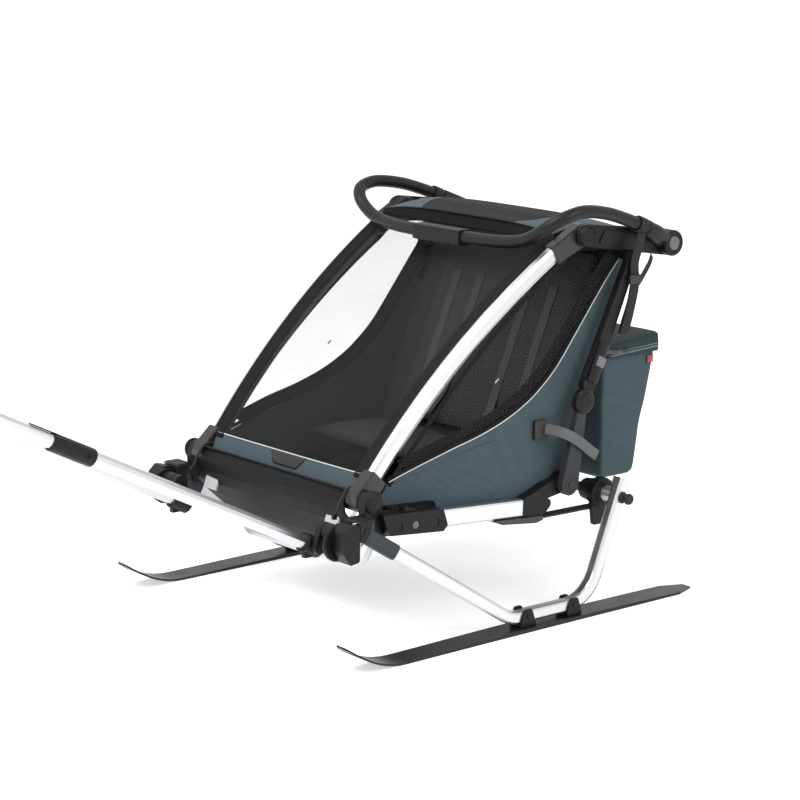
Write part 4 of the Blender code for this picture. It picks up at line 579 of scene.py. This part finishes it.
def mesh_window(name, tint, cover):
    """Tinted mesh cloth: fine diamond holes let most of the light through."""
    surface, tree, shader, place = start_surface(name, "UV")
    turned = add_node(tree, "ShaderNodeMapping", Vector=place, Rotation=(0, 0, np.pi / 4))
    pattern = lay_effect(tree, shader, turned.outputs[0], "weave", 75.0, tint, 0.38, 0.01, 0.0003)
    threads = spread(tree, pattern.outputs["Height"], 0.03, cover - 0.03)
    threads = spread(tree, noise(tree, place, 5.0, 3.0), 0.03, threads)
    fill(tree, shader.inputs["Alpha"], threads)
    fill(tree, shader.inputs["Specular IOR Level"], 0.3)
    return surface


window_film = mesh_window("window_film", display(60, 61, 63), 0.12)
hem_black = finish_of("hem_black", display(30, 30, 32), 0.78, effect="weave", scale=160.0, bump=0.2,
                      shine=0.12)
slate_cloth = finish_of("slate_cloth", display(76, 90, 97), 0.8, effect="weave", scale=230.0, bump=0.3,
                        sheen=0.1, shine=0.15)
lining_cloth = finish_of("lining_cloth", display(58, 61, 63), 0.85, scale=260.0, bump=0.02, shine=0.05)
piping_white = finish_of("piping_white", display(226, 227, 222), 0.55, effect="weave", scale=300.0, bump=0.2)

BAND_HEIGHT = 0.042
HEADER_HEIGHT = 0.024
window_grid = front_places(BAND_HEIGHT - 0.004, front_length - HEADER_HEIGHT + 0.004, 72, 40)
x, z = window_grid[..., 0], window_grid[..., 2]
window_grid[..., 1] -= 0.0012 * np.sin(x * 16 + z * 9) * np.sin(z * 7)
header_grid = front_places(front_length - HEADER_HEIGHT, front_length, 10, 40, 0.0008, -0.01)
bow = np.abs(np.linspace(-1, 1, 40)) ** 4
header_grid[..., 2] += np.linspace(0, 1, 10)[:, None] ** 2 * (0.004 - 0.016 * bow)
band_grid = front_places(0.0, BAND_HEIGHT, 14, 60, 0.001)
for name, places, surface, thickness, lining in (
        ("front_window", window_grid, window_film, 0.0005, None),
        ("front_header", header_grid, hem_black, 0.001, None),
        ("front_band", band_grid, slate_cloth, 0.0012, lining_cloth)):
    made = thicken(make_piece(name, places, False, surface), thickness, lining=lining)
    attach(made, "pillars")
    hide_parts("front_cover")
made = strand("front_piping", band_grid[-1] + [0, -0.0006, 0.0006], (0, -1, 0), round_profile(0.0014, 8),
              piping_white)
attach(made, "pillars")
# The bumper's upper lip, a moulded flange that the band stands behind.
edge = grid(np.linspace(-0.26, 0.26, 40), 0.3195, 0.3372)
made = strand("bumper_lip", edge, (0, -0.55, 0.83), flat_profile(0.014, 0.0035),
              finish_of("lip_black", **MOULDED))
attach(made, "chassis")

# The bare rubber patch sewn to the band's middle: wide at the top, with cut lower corners.
patch_rubber = finish_of("patch_rubber", display(30, 30, 32), 0.6, scale=500.0, bump=0.2)
half = 0.038 + 0.025 * np.linspace(0, 1, 8)[:, None] ** 0.8
places = front_places(0.0115, 0.0405, 8, 3, 0.0016)[:, 1:2] + grid(np.linspace(-1, 1, 16) * half, 0, 0)
patch = thicken(make_piece("front_patch", places, False, patch_rubber), 0.0016, 1.0)
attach(patch, "pillars")

HEM_COLUMNS = [(-0.04, 0.0176), (-0.03, 0.0179), (-0.02, 0.0183), (-0.013, 0.0192), (-0.0095, 0.0206),
               (-0.006, 0.0216), (-0.0035, 0.0214)]
shares = np.linspace(0.012, 0.962, 70)
sideways, outwards = np.array(HEM_COLUMNS).T
flat_places = pillar_arc(np.repeat(shares[:, None], len(HEM_COLUMNS), 1), outwards[None, :])
hem_grid = np.concatenate([(pillar_x(shares)[:, None] + sideways)[..., None], flat_places], -1)
for side, word in SIDES:
    places = mirrored(side, hem_grid)
    made = thicken(make_piece("pillar_hem" + word, places, False, hem_black), 0.0009)
    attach(made, "pillars")
    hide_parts("front_cover")


# Roof: one piece of coated cloth from the front seam to the rear edge, sagging a little between its
# sewn cross seams, with slate corner patches at the front.
ROOF_FRONT_Y, ROOF_REAR_Y = 0.8675, 1.1609


def roof_half(y):
    """Half width: 287 mm between the pillars' heads, 306 between the roof bars, 280 at the hubs."""
    half = 0.287 + 0.019 * straight_ramp(y, 0.962, 0.987)
    return half - 0.026 * straight_ramp(y, 1.115, 1.148)


def roof_height(y, across):
    """Crowned from front to rear, drawn down at both sides, sagging between the seams."""
    share = (y - ROOF_FRONT_Y) / (ROOF_REAR_Y - ROOF_FRONT_Y)
    middle = 0.846 - 0.046 * share ** 2.2 + 0.018 * np.sin(np.pi * share)
    sag = 0.0022 * np.sin(np.pi * share * 4) ** 2 * (1 - across ** 4)
    seam = 0.0012 * np.exp(-((share * 4 - np.round(share * 4)) / 0.05) ** 2) * (1 - across ** 8)
    return middle - 0.016 * np.abs(across) ** 4 - sag - seam


y = np.linspace(ROOF_FRONT_Y, ROOF_REAR_Y, 110)[:, None]
across = np.linspace(-1, 1, 60)[None, :]
places = grid(across * roof_half(y), y, roof_height(y, across))
coated = finish_of("coated_black", display(36, 36, 38), 0.72, effect="weave", scale=210.0, bump=0.25,
                   shine=0.15)
roof = thicken(make_piece("roof_cloth", places, False, coated), 0.0014)
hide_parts("roof_cover")
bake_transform(roof)

y = np.linspace(ROOF_FRONT_Y + 0.001, 1.108, 40)[:, None]
share = (y - ROOF_FRONT_Y) / (1.108 - ROOF_FRONT_Y)
inner = 0.157 + 0.115 * share ** 0.75
outer = roof_half(y) - 0.002
x = inner + (outer - inner) * np.linspace(0, 1, 20)[None, :]
corner_grid = grid(x, y, roof_height(y, x / roof_half(y)) + 0.0011)
for side, word in SIDES:
    places = mirrored(side, corner_grid)
    made = thicken(make_piece("roof_corner" + word, places, False, slate_cloth), 0.0008)
    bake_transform(made)


# Sides: slate cloth below and a tinted window above, joined along a white piping. The cloth is
# gathered where the piping bends, and black hems hold the window to the pillar and the roof bar.
WINDOW_LOW = [(0.396, 0.351), (0.47, 0.373), (0.558, 0.397), (0.64, 0.416), (0.712, 0.439), (0.768, 0.465),
              (0.812, 0.493), (0.866, 0.54), (0.928, 0.615), (0.998, 0.702), (1.061, 0.773)]
SIDE_BOTTOM = [(0.374, 0.322), (0.38, 0.304), (0.45, 0.2975), (0.52, 0.291), (0.532, 0.268), (0.64, 0.263),
               (0.76, 0.259), (0.85, 0.262), (0.88, 0.285), (0.902, 0.35), (0.925, 0.43), (0.95, 0.52),
               (0.995, 0.615), (1.045, 0.71), (1.083, 0.768)]
back_edge = pillar_arc(np.linspace(0.035, 0.955, 40), -0.0262)
WINDOW_HIGH = np.concatenate([back_edge, [(0.9, 0.793), (0.96, 0.8), (1.064, 0.786)]])


def side_x(y, z):
    """Distance of the side cloth from the middle: closer in beside the front housing."""
    return 0.2992 + 0.0068 * straight_ramp(y + 1.6 * (z - 0.3), 0.52, 0.7)


def between(low, high, rows, columns):
    """The y and z of a grid between two edge lines, rows from the low one to the high one."""
    low, high = even_line(low, columns), even_line(high, columns)
    return np.moveaxis(low + (high - low) * np.linspace(0, 1, rows)[:, None, None], -1, 0)


def side_places(low, high, rows, columns, sunk=0.0):
    """Grid between two edge lines on the side cloth's surface, or sunk behind it."""
    y, z = between(low, high, rows, columns)
    return grid(side_x(y, z) - sunk, y, z)


def wrinkle(places, spots):
    """Moves the cloth in and out in short waves round each spot (y, z, reach, height, waves, angle)."""
    for y, z, reach, height, waves, angle in spots:
        dy, dz = places[..., 1] - y, places[..., 2] - z
        nearby = np.exp(-(dy ** 2 + dz ** 2) / reach ** 2)
        phase = (dy * np.cos(angle) + dz * np.sin(angle)) * waves
        places[..., 0] += height * nearby * np.sin(phase)
    return places


line_low = smooth_line(WINDOW_LOW, 120)
film = side_places(line_low, smooth_line(WINDOW_HIGH, 120), 60, 120)
film = wrinkle(film, [(0.96, 0.72, 0.07, 0.003, 120, 0.35), (0.8, 0.6, 0.16, 0.0012, 40, 0.9),
                      (0.62, 0.48, 0.12, 0.001, 45, 1.2)])
cloth = side_places(smooth_line(SIDE_BOTTOM, 120), line_low, 50, 120)
cloth = wrinkle(cloth, [(0.835, 0.48, 0.045, 0.0016, 330, 0.75), (0.7, 0.36, 0.14, 0.0012, 30, 0.4),
                        (0.98, 0.62, 0.06, 0.0014, 120, 0.9)])
side_film = mesh_window("side_film", display(54, 55, 57), 0.045)
stitch_dark = finish_of("stitch_dark", display(58, 72, 79), 0.8, effect="weave", scale=300.0)
SEAMS = [[(0.402, 0.345), (0.56, 0.378), (0.652, 0.396), (0.769, 0.409), (0.888, 0.437), (0.918, 0.452)],
         [(0.838, 0.424), (0.8, 0.35), (0.757, 0.262)]]


def on_side(points, count, proud):
    """A line on the side cloth, lifted off it."""
    flat = smooth_line(points, count)
    return np.concatenate([(side_x(flat[:, 0], flat[:, 1]) + proud)[:, None], flat], 1)


for side, word in SIDES:
    sewn_on = []
    window = thicken(make_piece("side_window" + word, mirrored(side, film), False, side_film), 0.0005)
    panel = thicken(make_piece("side_cloth" + word, mirrored(side, cloth), False, slate_cloth), 0.0012,
                    lining=lining_cloth)
    for whole in (window, panel):
        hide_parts("side_panel" + word)
        sewn_on.append(whole)
    rope = sided(side, on_side(WINDOW_LOW, 130, 0.0002))
    sewn_on.append(strand("side_piping" + word, rope, (side, 0, 0), round_profile(0.0015, 10), piping_white))
    edges = ((WINDOW_LOW, 0.01, 0.005, "_low"), (WINDOW_HIGH, 0.012, -0.004, "_high"))
    for points, width, shift, which in edges:
        flat = smooth_line(points, 110)
        ahead = heading(flat)
        y, z = (flat + np.stack([-ahead[:, 1], ahead[:, 0]], -1) * shift).T
        profile = flat_profile(width, 0.001)[:, ::-1] * [1, -1]
        sewn_on.append(strand("window_hem" + which + word, grid((side_x(y, z) + 0.0003) * side, y, z),
                              (side, 0, 0), profile, hem_black))
    sewn = line_low[8:]
    lining = side_places(sewn + [0, 0.001], sewn + [-0.03, 0.026], 8, 112, 0.0035)
    made = make_piece("window_lining" + word, mirrored(side, lining), False, hem_black)
    sewn_on.append(thicken(made, 0.0008))
    for number, points in enumerate(SEAMS):
        sewn_on.append(strand("side_seam_%d%s" % (number, word), sided(side, on_side(points, 90, 0.0)),
                              (side, 0, 0), round_profile(0.0006, 6), stitch_dark))
    for whole in sewn_on:
        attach(whole, "chassis")
        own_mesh(whole)


# Seat and back: cloth hammocks with light padding, each with two places and a sewn channel between.
# They are blown up a little as cloth, which gives them their creases.
pad_cloth = finish_of("pad_cloth", display(60, 60, 62), 0.85, scale=260.0, bump=0.02, shine=0.05)


def vertex_places(mesh):
    """Places of a mesh's points."""
    places = np.empty(len(mesh.vertices) * 3)
    mesh.vertices.foreach_get("co", places)
    return places.reshape(-1, 3)


def plump(source, reach):
    """Swells a closed shape as cloth under pressure and keeps each point within reach of its start."""
    remesh = source.modifiers.new("voxels", "REMESH")
    remesh.mode = "VOXEL"
    remesh.voxel_size = 0.006
    bpy.context.view_layer.update()
    graph = bpy.context.evaluated_depsgraph_get()
    dense = bpy.data.meshes.new_from_object(source.evaluated_get(graph))
    source.modifiers.clear()
    source.data = dense
    start = vertex_places(dense)
    cloth = source.modifiers.new("cloth", "CLOTH")
    cloth.settings.use_pressure = True
    cloth.settings.uniform_pressure_force = 4.0
    cloth.settings.quality = 4
    cloth.settings.effector_weights.gravity = 0.0
    cloth.collision_settings.use_self_collision = False
    cloth.point_cache.frame_start = 1
    cloth.point_cache.frame_end = 20
    for step in range(1, 21):
        scene.frame_set(step)
    graph = bpy.context.evaluated_depsgraph_get()
    moved = vertex_places(source.evaluated_get(graph).data) - start
    source.modifiers.clear()
    scene.frame_set(1)
    far = np.linalg.norm(moved, axis=1, keepdims=True)
    moved *= np.minimum(1, reach / np.maximum(far, 1e-9))
    dense.vertices.foreach_set("co", (start + moved).ravel())
    dense.polygons.foreach_set("use_smooth", np.full(len(dense.polygons), True))
    dense.update()


def padded_slab(name, foot, top, thickness, half, crown):
    """A closed pad between two lines: a ring of front and back faces across, carried from foot to
    top, with two crowned places and a channel between them."""
    foot, top = np.array(foot), np.array(top)
    ahead = (top - foot) / np.linalg.norm(top - foot)
    across = np.concatenate([np.linspace(-1, 1, 32), np.linspace(1, -1, 32)])
    front = np.repeat([1.0, 0.0], 32)
    share = np.linspace(0, 1, 30)[:, None]
    place = np.abs(2 * np.abs(across) - 1)
    rise = crown * (1 - place ** 4) * np.sin(np.pi * np.clip(share, 0.02, 0.98)) ** 0.4 * front
    lift = rise + (front - 0.5) * thickness * (1 - 0.6 * np.abs(across) ** 12)
    base = foot + (top - foot) * share
    return make_piece(name, grid(across * half * (1 - 0.03 * straight_ramp(share, 0.75, 1.0)),
                                 base[:, :1] - ahead[1] * lift, base[:, 1:] + ahead[0] * lift),
                      True, pad_cloth, caps=True)


BACK_LINE = [(0.853, 0.262), (0.872, 0.3), (0.9, 0.372), (0.972, 0.56), (1.04, 0.72), (1.062, 0.764),
             (1.098, 0.789), (1.14, 0.797)]
flat = smooth_line(BACK_LINE, 40)
across = np.linspace(-1, 1, 50)
half = 0.2915 + 0.0125 * straight_ramp(flat[:, 1], 0.3, 0.36)
places = grid(across * half[:, None], flat[:, :1] - 0.024 * np.abs(across) ** 6,
              flat[:, 1:] - 0.012 * np.abs(across) ** 4 * straight_ramp(flat[:, :1], 1.06, 1.12))
back_cloth = thicken(make_piece("back_cloth", places[:, ::-1], False, lining_cloth), 0.0012)
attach(back_cloth, "chassis")
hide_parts("backrest")
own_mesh(back_cloth)

back_pad = padded_slab("back_pad", (0.862, 0.34), (1.048, 0.768), 0.01, 0.258, 0.01)
seat_pad = padded_slab("seat_pad", (0.608, 0.336), (0.824, 0.326), 0.018, 0.256, 0.01)
for pad, node in ((back_pad, "backrest"), (seat_pad, "seat")):
    plump(pad, 0.006)
    pad.data.materials.clear()
    pad.data.materials.append(pad_cloth)
    finer = pad.modifiers.new("finer", "SUBSURF")
    finer.levels = finer.render_levels = 1
    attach(pad, "chassis")
    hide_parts(node)
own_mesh(back_pad)

# Cabin trim: harness straps on each place, a gathered dark cloth strip inside each side window, painted
# near-black as the shadows in its folds, and a white size tag.
harness_grey = finish_of("harness_grey", display(76, 77, 80), 0.7, effect="weave", scale=300.0, bump=0.05,
                         shine=0.1)
# Near-black cloth: painted shade of the folds inside the side window.
fold_shadow_black = finish_of("fold_shadow_black", display(14, 14, 15), 0.8, effect="weave", scale=200.0, bump=0.1,
                        shine=0.05)
SHADE_EDGE = [(0.998, 0.784), (0.986, 0.759), (0.968, 0.747), (0.993, 0.727), (0.951, 0.706), (0.994, 0.706),
              (0.945, 0.687), (0.988, 0.682), (0.964, 0.658), (0.983, 0.647)]
SHADE_BACK = [(1.03, 0.784), (1.014, 0.75), (1.012, 0.725), (1.006, 0.7), (1.0, 0.67), (0.99, 0.646)]
y, z = between(SHADE_EDGE, SHADE_BACK, 8, 90)
shade_grid = grid(0.296 + 0.002 * np.sin(z * 320), y, z)
TAG_LINE = [(0.295, 0.696, 0.5245), (0.295, 0.701, 0.528), (0.295, 0.706, 0.5315)]
for side, word in SIDES:
    # A dark cloth strip whose near-black colour is painted fold shadow.
    shade = make_piece("fold_shadow_strip" + word, mirrored(side, shade_grid), False, fold_shadow_black)
    tag = strand("window_tag" + word, sided(side, TAG_LINE), (0, -0.57, 0.82), flat_profile(0.004, 0.0006),
                 piping_white)
    cabin = [thicken(shade, 0.001), tag]
    for number, place in enumerate((0.085, 0.165)):
        line = [(place, 0.99, 0.69), (place, 0.934, 0.56), (place, 0.882, 0.44),
                (place * 0.6 + 0.05, 0.835, 0.372)]
        cabin.append(trim("harness_%d%s" % (number, word), side, line, 40, (1, 0, 0),
                          flat_profile(0.026, 0.004), harness_grey))
    for whole in cabin:
        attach(whole, "chassis")
        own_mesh(whole)


# Cargo bag: a sewn shell of slate cloth that hangs behind the back, rounded at its corners and
# slack in its sides, open at the top under a stiffer lid.
BAG_LEVELS = [(0.2336, 1.112, 1.16, 0.2), (0.234, 1.1, 1.172, 0.212), (0.2375, 1.09, 1.18, 0.222),
              (0.245, 1.083, 1.186, 0.228), (0.26, 1.0802, 1.19, 0.23), (0.337, 1.0798, 1.2045, 0.231),
              (0.451, 1.08, 1.2325, 0.232), (0.531, 1.0805, 1.2485, 0.2325)]


def rounded_ring(half, low, high, power=28.0, count=200):
    """Loop of a rounded box, |x/a|^n + |y/b|^n = 1, anticlockwise from above; one row per level."""
    turn = np.linspace(0, 2 * np.pi, count, endpoint=False)
    cosine, sine = np.cos(turn), np.sin(turn)
    x = np.sign(cosine) * np.abs(cosine) ** (2 / power)
    y = np.sign(sine) * np.abs(sine) ** (2 / power)
    half, low, high = (np.asarray(value, float)[:, None] for value in (half, low, high))
    return half * x, (low + high) / 2 + (high - low) / 2 * y


def open_up(made, face):
    """Takes one capping face off a closed piece."""
    shell = bmesh.new()
    shell.from_mesh(made.data)
    shell.faces.ensure_lookup_table()
    shell.faces.remove(shell.faces[face])
    shell.to_mesh(made.data)
    shell.free()


levels = even_line(np.array(BAG_LEVELS), 60)
x, y = rounded_ring(levels[:, 3], levels[:, 1], levels[:, 2])
height = np.broadcast_to(levels[:, :1], x.shape)
slack = np.sin(np.pi * straight_ramp(height, 0.25, 0.53))
x = x * (1 - 0.01 * slack * (0.6 + 0.4 * np.sin(height * 60 + y * 25)))
y = y + 0.0025 * slack * np.sin(x * 22 + height * 18) * (y > 1.15)
bag_places = np.stack([x, y, height], -1)
bag = thicken(make_piece("bag_body", bag_places, True, slate_cloth, caps=True), 0.0016, lining=lining_cloth)
open_up(bag, -1)
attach(bag, "chassis")
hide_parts("cargo_bag")
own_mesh(bag)

# Bag lid: padded cloth over a stiff board, with a turned-down rim, two mint stripes sewn round it
# and a soft dome.
LID_FRONT, LID_REAR, LID_HALF = 1.0802, 1.2562, 0.2403
LID_STEPS = [(0.0, -0.046), (0.0, -0.02), (0.0004, -0.008), (0.0022, -0.0032), (0.006, -0.0008),
             (0.014, 0.0), (0.03, 0.0008), (0.055, 0.0014), (0.0875, 0.0016)]
steps = even_line(np.array(LID_STEPS), 50)
inset = steps[:, 0]
share = np.clip(inset / 0.0875, 0, 0.995)
x, y = rounded_ring(LID_HALF - inset, LID_FRONT + 0.088 * share, LID_REAR - 0.088 * share, 26.0, 180)
top = 0.5482 + 0.018 * straight_ramp(y, LID_FRONT, LID_REAR)
rim = straight_ramp(steps[:, 1:], -0.046, -0.02)
height = (0.5208 + (top - 0.02 - 0.5208) * rim) * (steps[:, 1:] <= -0.02)
height = np.where(steps[:, 1:] <= -0.02, height, top + steps[:, 1:])
lid_cloth = finish_of("lid_cloth", display(50, 62, 67), 0.78, effect="weave", scale=230.0, bump=0.3,
                      sheen=0.1, shine=0.15)
lid = thicken(make_piece("lid_cover", np.stack([x, y, height], -1), True, lid_cloth, caps=True), 0.0016)
open_up(lid, -2)
mint = finish_of("mint_tape", display(92, 118, 109), 0.7, effect="weave", scale=260.0, bump=0.25)
rim_turn = np.linspace(-0.1, np.pi + 0.1, 120)
rim_x, rim_y = (np.sign(wave) * np.abs(wave) ** (2 / 26.0) for wave in (np.cos(rim_turn), np.sin(rim_turn)))
rim_x, rim_y = rim_x * (LID_HALF + 0.0004), 1.1682 + 0.0884 * rim_y
lid_parts = [lid]
for lift, width in ((0.0, 0.0042), (0.0065, 0.0026)):
    rim_z = 0.5255 + lift + 0.008 * straight_ramp(rim_y, 1.165, 1.2562)
    lid_parts.append(strand("lid_stripe_%d" % len(lid_parts), grid(rim_x, rim_y, rim_z), (0, 0, 1),
                            flat_profile(width, 0.0008), mint))
for whole in lid_parts:
    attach(whole, "bag_top")
    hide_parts("bag_lid")
    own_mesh(whole)

# Bag trim: flat stays from the frame towards the bag's rim, and a red reflective tab at each rear
# corner.
stay_steel = finish_of("stay_steel", display(44, 45, 48), 0.45, metal=0.2, effect="brushed", scale=30.0)
red_lens = finish_of("red_lens", display(150, 34, 32), 0.3, scale=200.0, coat=0.4)
STAY_LINE = [(0.332, 0.983, 0.563), (0.326, 1.01, 0.558), (0.312, 1.056, 0.549), (0.276, 1.086, 0.54),
             (0.244, 1.115, 0.535), (0.2425, 1.15, 0.533)]
TAB_LINE = [(0.2, 1.2455, 0.503), (0.22, 1.245, 0.503), (0.232, 1.24, 0.503), (0.2352, 1.228, 0.503),
            (0.2355, 1.218, 0.503)]
for side, word in SIDES:
    stay = trim("bag_stay" + word, side, STAY_LINE, 50, (0, 0, 1), flat_profile(0.009, 0.0026), stay_steel)
    tab = trim("bag_reflector" + word, side, TAB_LINE, 40, (0, 0, 1), flat_profile(0.018, 0.0024), red_lens)
    for whole in (stay, tab):
        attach(whole, "chassis")
        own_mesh(whole)


# Straps: flat black webbing. One loops round each handlebar arm, hangs through a buckle and ends
# in a folded tail; a grey pull strap runs from a base on the side cloth over the lower strut.
webbing = finish_of("webbing", display(48, 48, 50), 0.75, effect="weave", scale=350.0, bump=0.3, shine=0.2)
buckle_black = finish_of("buckle_black", display(34, 34, 36), 0.4, scale=700.0)
pull_grey = finish_of("pull_grey", display(96, 97, 99), 0.6, effect="weave", scale=320.0, bump=0.35)


def box_piece(name, side, low, high, edge, surface):
    """A moulded block with rounded edges, on one side, between two corners made for the left."""
    low, high = (Vector(corner) for corner in np.sort([sided(side, low), sided(side, high)], axis=0))
    shape = bmesh.new()
    bmesh.ops.create_cube(shape, size=1.0)
    shape.transform(Matrix.Translation((low + high) / 2) @ Matrix.Diagonal((*(high - low), 1)))
    bmesh.ops.bevel(shape, geom=shape.edges[:], offset=edge, segments=3, profile=0.5, affect="EDGES")
    mesh = bpy.data.meshes.new(name)
    shape.to_mesh(mesh)
    shape.free()
    return show_mesh(name, mesh, surface, smooth=False)


HANGING_LINE = [(0.3585, 1.07, 0.8235), (0.36, 1.06, 0.795), (0.36, 1.048, 0.76), (0.36, 1.0485, 0.725),
                (0.3595, 1.04, 0.677), (0.3585, 1.024, 0.633), (0.3605, 1.013, 0.606), (0.365, 1.015, 0.61),
                (0.3655, 1.026, 0.64), (0.364, 1.042, 0.69), (0.3628, 1.048, 0.718)]
BRANCH_LINE = [(0.329, 1.132, 0.764), (0.345, 1.108, 0.75), (0.357, 1.07, 0.72), (0.359, 1.056, 0.709)]
PULL_LINE = [(0.3165, 0.824, 0.408), (0.326, 0.832, 0.407), (0.348, 0.846, 0.402), (0.36, 0.862, 0.393),
             (0.3622, 0.884, 0.379), (0.3622, 0.908, 0.362), (0.359, 0.928, 0.348), (0.356, 0.946, 0.337)]
turn = np.linspace(0, 2 * np.pi, 33)[:, None]
ring = (np.cos(turn) * np.array([1.0, 0, 0]) + np.sin(turn) * np.array([0.0, 0.357, 0.934])) * 0.0172
for side, word in SIDES:
    rings = carry(sided(side, (0.35, 1.0719, 0.841)) + ring, (0.0, 0.934, -0.357),
                  flat_profile(0.024, 0.0026))
    loop = make_piece("strap_loop" + word, rings, True, webbing)
    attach(loop, "handlebar_arm")
    hang = trim("strap_hanging" + word, side, HANGING_LINE, 110, (0, 1, 0.1), flat_profile(0.025, 0.0018),
                webbing)
    branch = trim("strap_branch" + word, side, BRANCH_LINE, 40, (0, 0.5, -0.8), flat_profile(0.014, 0.0014),
                  webbing)
    buckle = box_piece("strap_buckle" + word, side, (0.3612 - 0.0045, 1.031, 0.713),
                       (0.3612 + 0.0045, 1.064, 0.733), 0.0018, buckle_black)
    for whole in (hang, branch, buckle):
        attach(whole, "roof_frame")
        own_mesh(whole)
    base = box_piece("pull_base" + word, side, (0.3062, 0.796, 0.386), (0.3162, 0.833, 0.428), 0.0022,
                     buckle_black)
    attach(base, "chassis")
    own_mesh(base)
    pull = trim("pull_strap" + word, side, PULL_LINE, 60, (0, 0.55, 0.8), flat_profile(0.024, 0.0022),
                pull_grey)
    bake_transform(pull)


# Elastic cords: 5 mm, from each lower corner of the front cover over the bumper's lip to a small
# hook ahead of it.
elastic = finish_of("elastic", display(38, 38, 36), 0.7, effect="weave", scale=900.0, bump=0.5)
hook_black = finish_of("hook_black", **MOULDED)
CORD_LINE = [(0.261, 0.356, 0.344), (0.2612, 0.338, 0.3452), (0.2614, 0.316, 0.343), (0.2616, 0.298, 0.321),
             (0.2618, 0.289, 0.304), (0.262, 0.281, 0.292)]
for side, word in SIDES:
    route = smooth_line(sided(side, CORD_LINE), 30)
    cord = strand("elastic_cord" + word, route, (1, 0, 0), round_profile(0.0026, 12), elastic)
    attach(cord, "chassis")
    knob = box_piece("cord_hook" + word, side, (0.262 - 0.005, 0.275, 0.282),
                     (0.262 + 0.005, 0.284, 0.294), 0.0015, hook_black)
    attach(knob, "chassis")


# Strut locks: a moulded slide on the outside of each upper strut, above the knee, with its grey key.
key_grey = finish_of("key_grey", display(112, 114, 118), 0.45, scale=800.0, shine=0.3)
lock_black = finish_of("lock_black", **MOULDED)
BODY_LINE = [(0.357, 0.964, 0.59), (0.3575, 0.944, 0.548), (0.3575, 0.925, 0.506)]
KEY_LINE = [(0.3625, 0.952, 0.559), (0.363, 0.947, 0.549), (0.3625, 0.942, 0.539)]
LOCK_ACROSS = (0, 0.904, -0.427)
for side, word in SIDES:
    body = trim("lock_body" + word, side, BODY_LINE, 30, LOCK_ACROSS, flat_profile(0.03, 0.0085), lock_black)
    key = trim("lock_key" + word, side, KEY_LINE, 20, LOCK_ACROSS, flat_profile(0.024, 0.005), key_grey)
    for whole in (body, key):
        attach(whole, "upper_struts")


# Spring bails: bent wire that holds each pole's pin in its bracket.
wire_steel = finish_of("wire_steel", display(205, 206, 208), 0.25, metal=1.0, effect="brushed", scale=60.0)
BAIL_LINE = [(0.346, 0.262, 0.292), (0.3475, 0.28, 0.2905), (0.348, 0.29, 0.28), (0.348, 0.2905, 0.256),
             (0.3475, 0.286, 0.242), (0.346, 0.27, 0.238)]
for side, word in SIDES:
    bail = trim("wire_bail" + word, side, BAIL_LINE, 50, (1, 0, 0), round_profile(0.0016, 12), wire_steel)
    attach(bail, "chassis")


# Floor: a pale plane that takes the soft shadows of the skis and glows a little where it is seen
# directly, so that it meets the white surroundings.
FLOOR_GLOW = 0.55
floor_mesh = bpy.data.meshes.new("floor")
floor_mesh.from_pydata([(-30, -30, 0), (30, -30, 0), (30, 30, 0), (-30, 30, 0)], [], [(0, 1, 2, 3)])
floor = bpy.data.objects.new("floor", floor_mesh)
scene.collection.objects.link(floor)
floor.location.z = -0.0005
floor_paper = finish_of("floor_paper", (0.9, 0.9, 0.9, 1), 0.9, scale=40.0, bump=0.0, shine=0.0)
floor_tree = floor_paper.node_tree
floor_shader = floor_tree.nodes["Principled BSDF"]
fill(floor_tree, floor_shader.inputs["Emission Color"], (1, 1, 1, 1))
fill(floor_tree, floor_shader.inputs["Emission Strength"],
     calculate(floor_tree, "MULTIPLY", seen_directly(floor_tree), FLOOR_GLOW))
floor_mesh.materials.append(floor_paper)
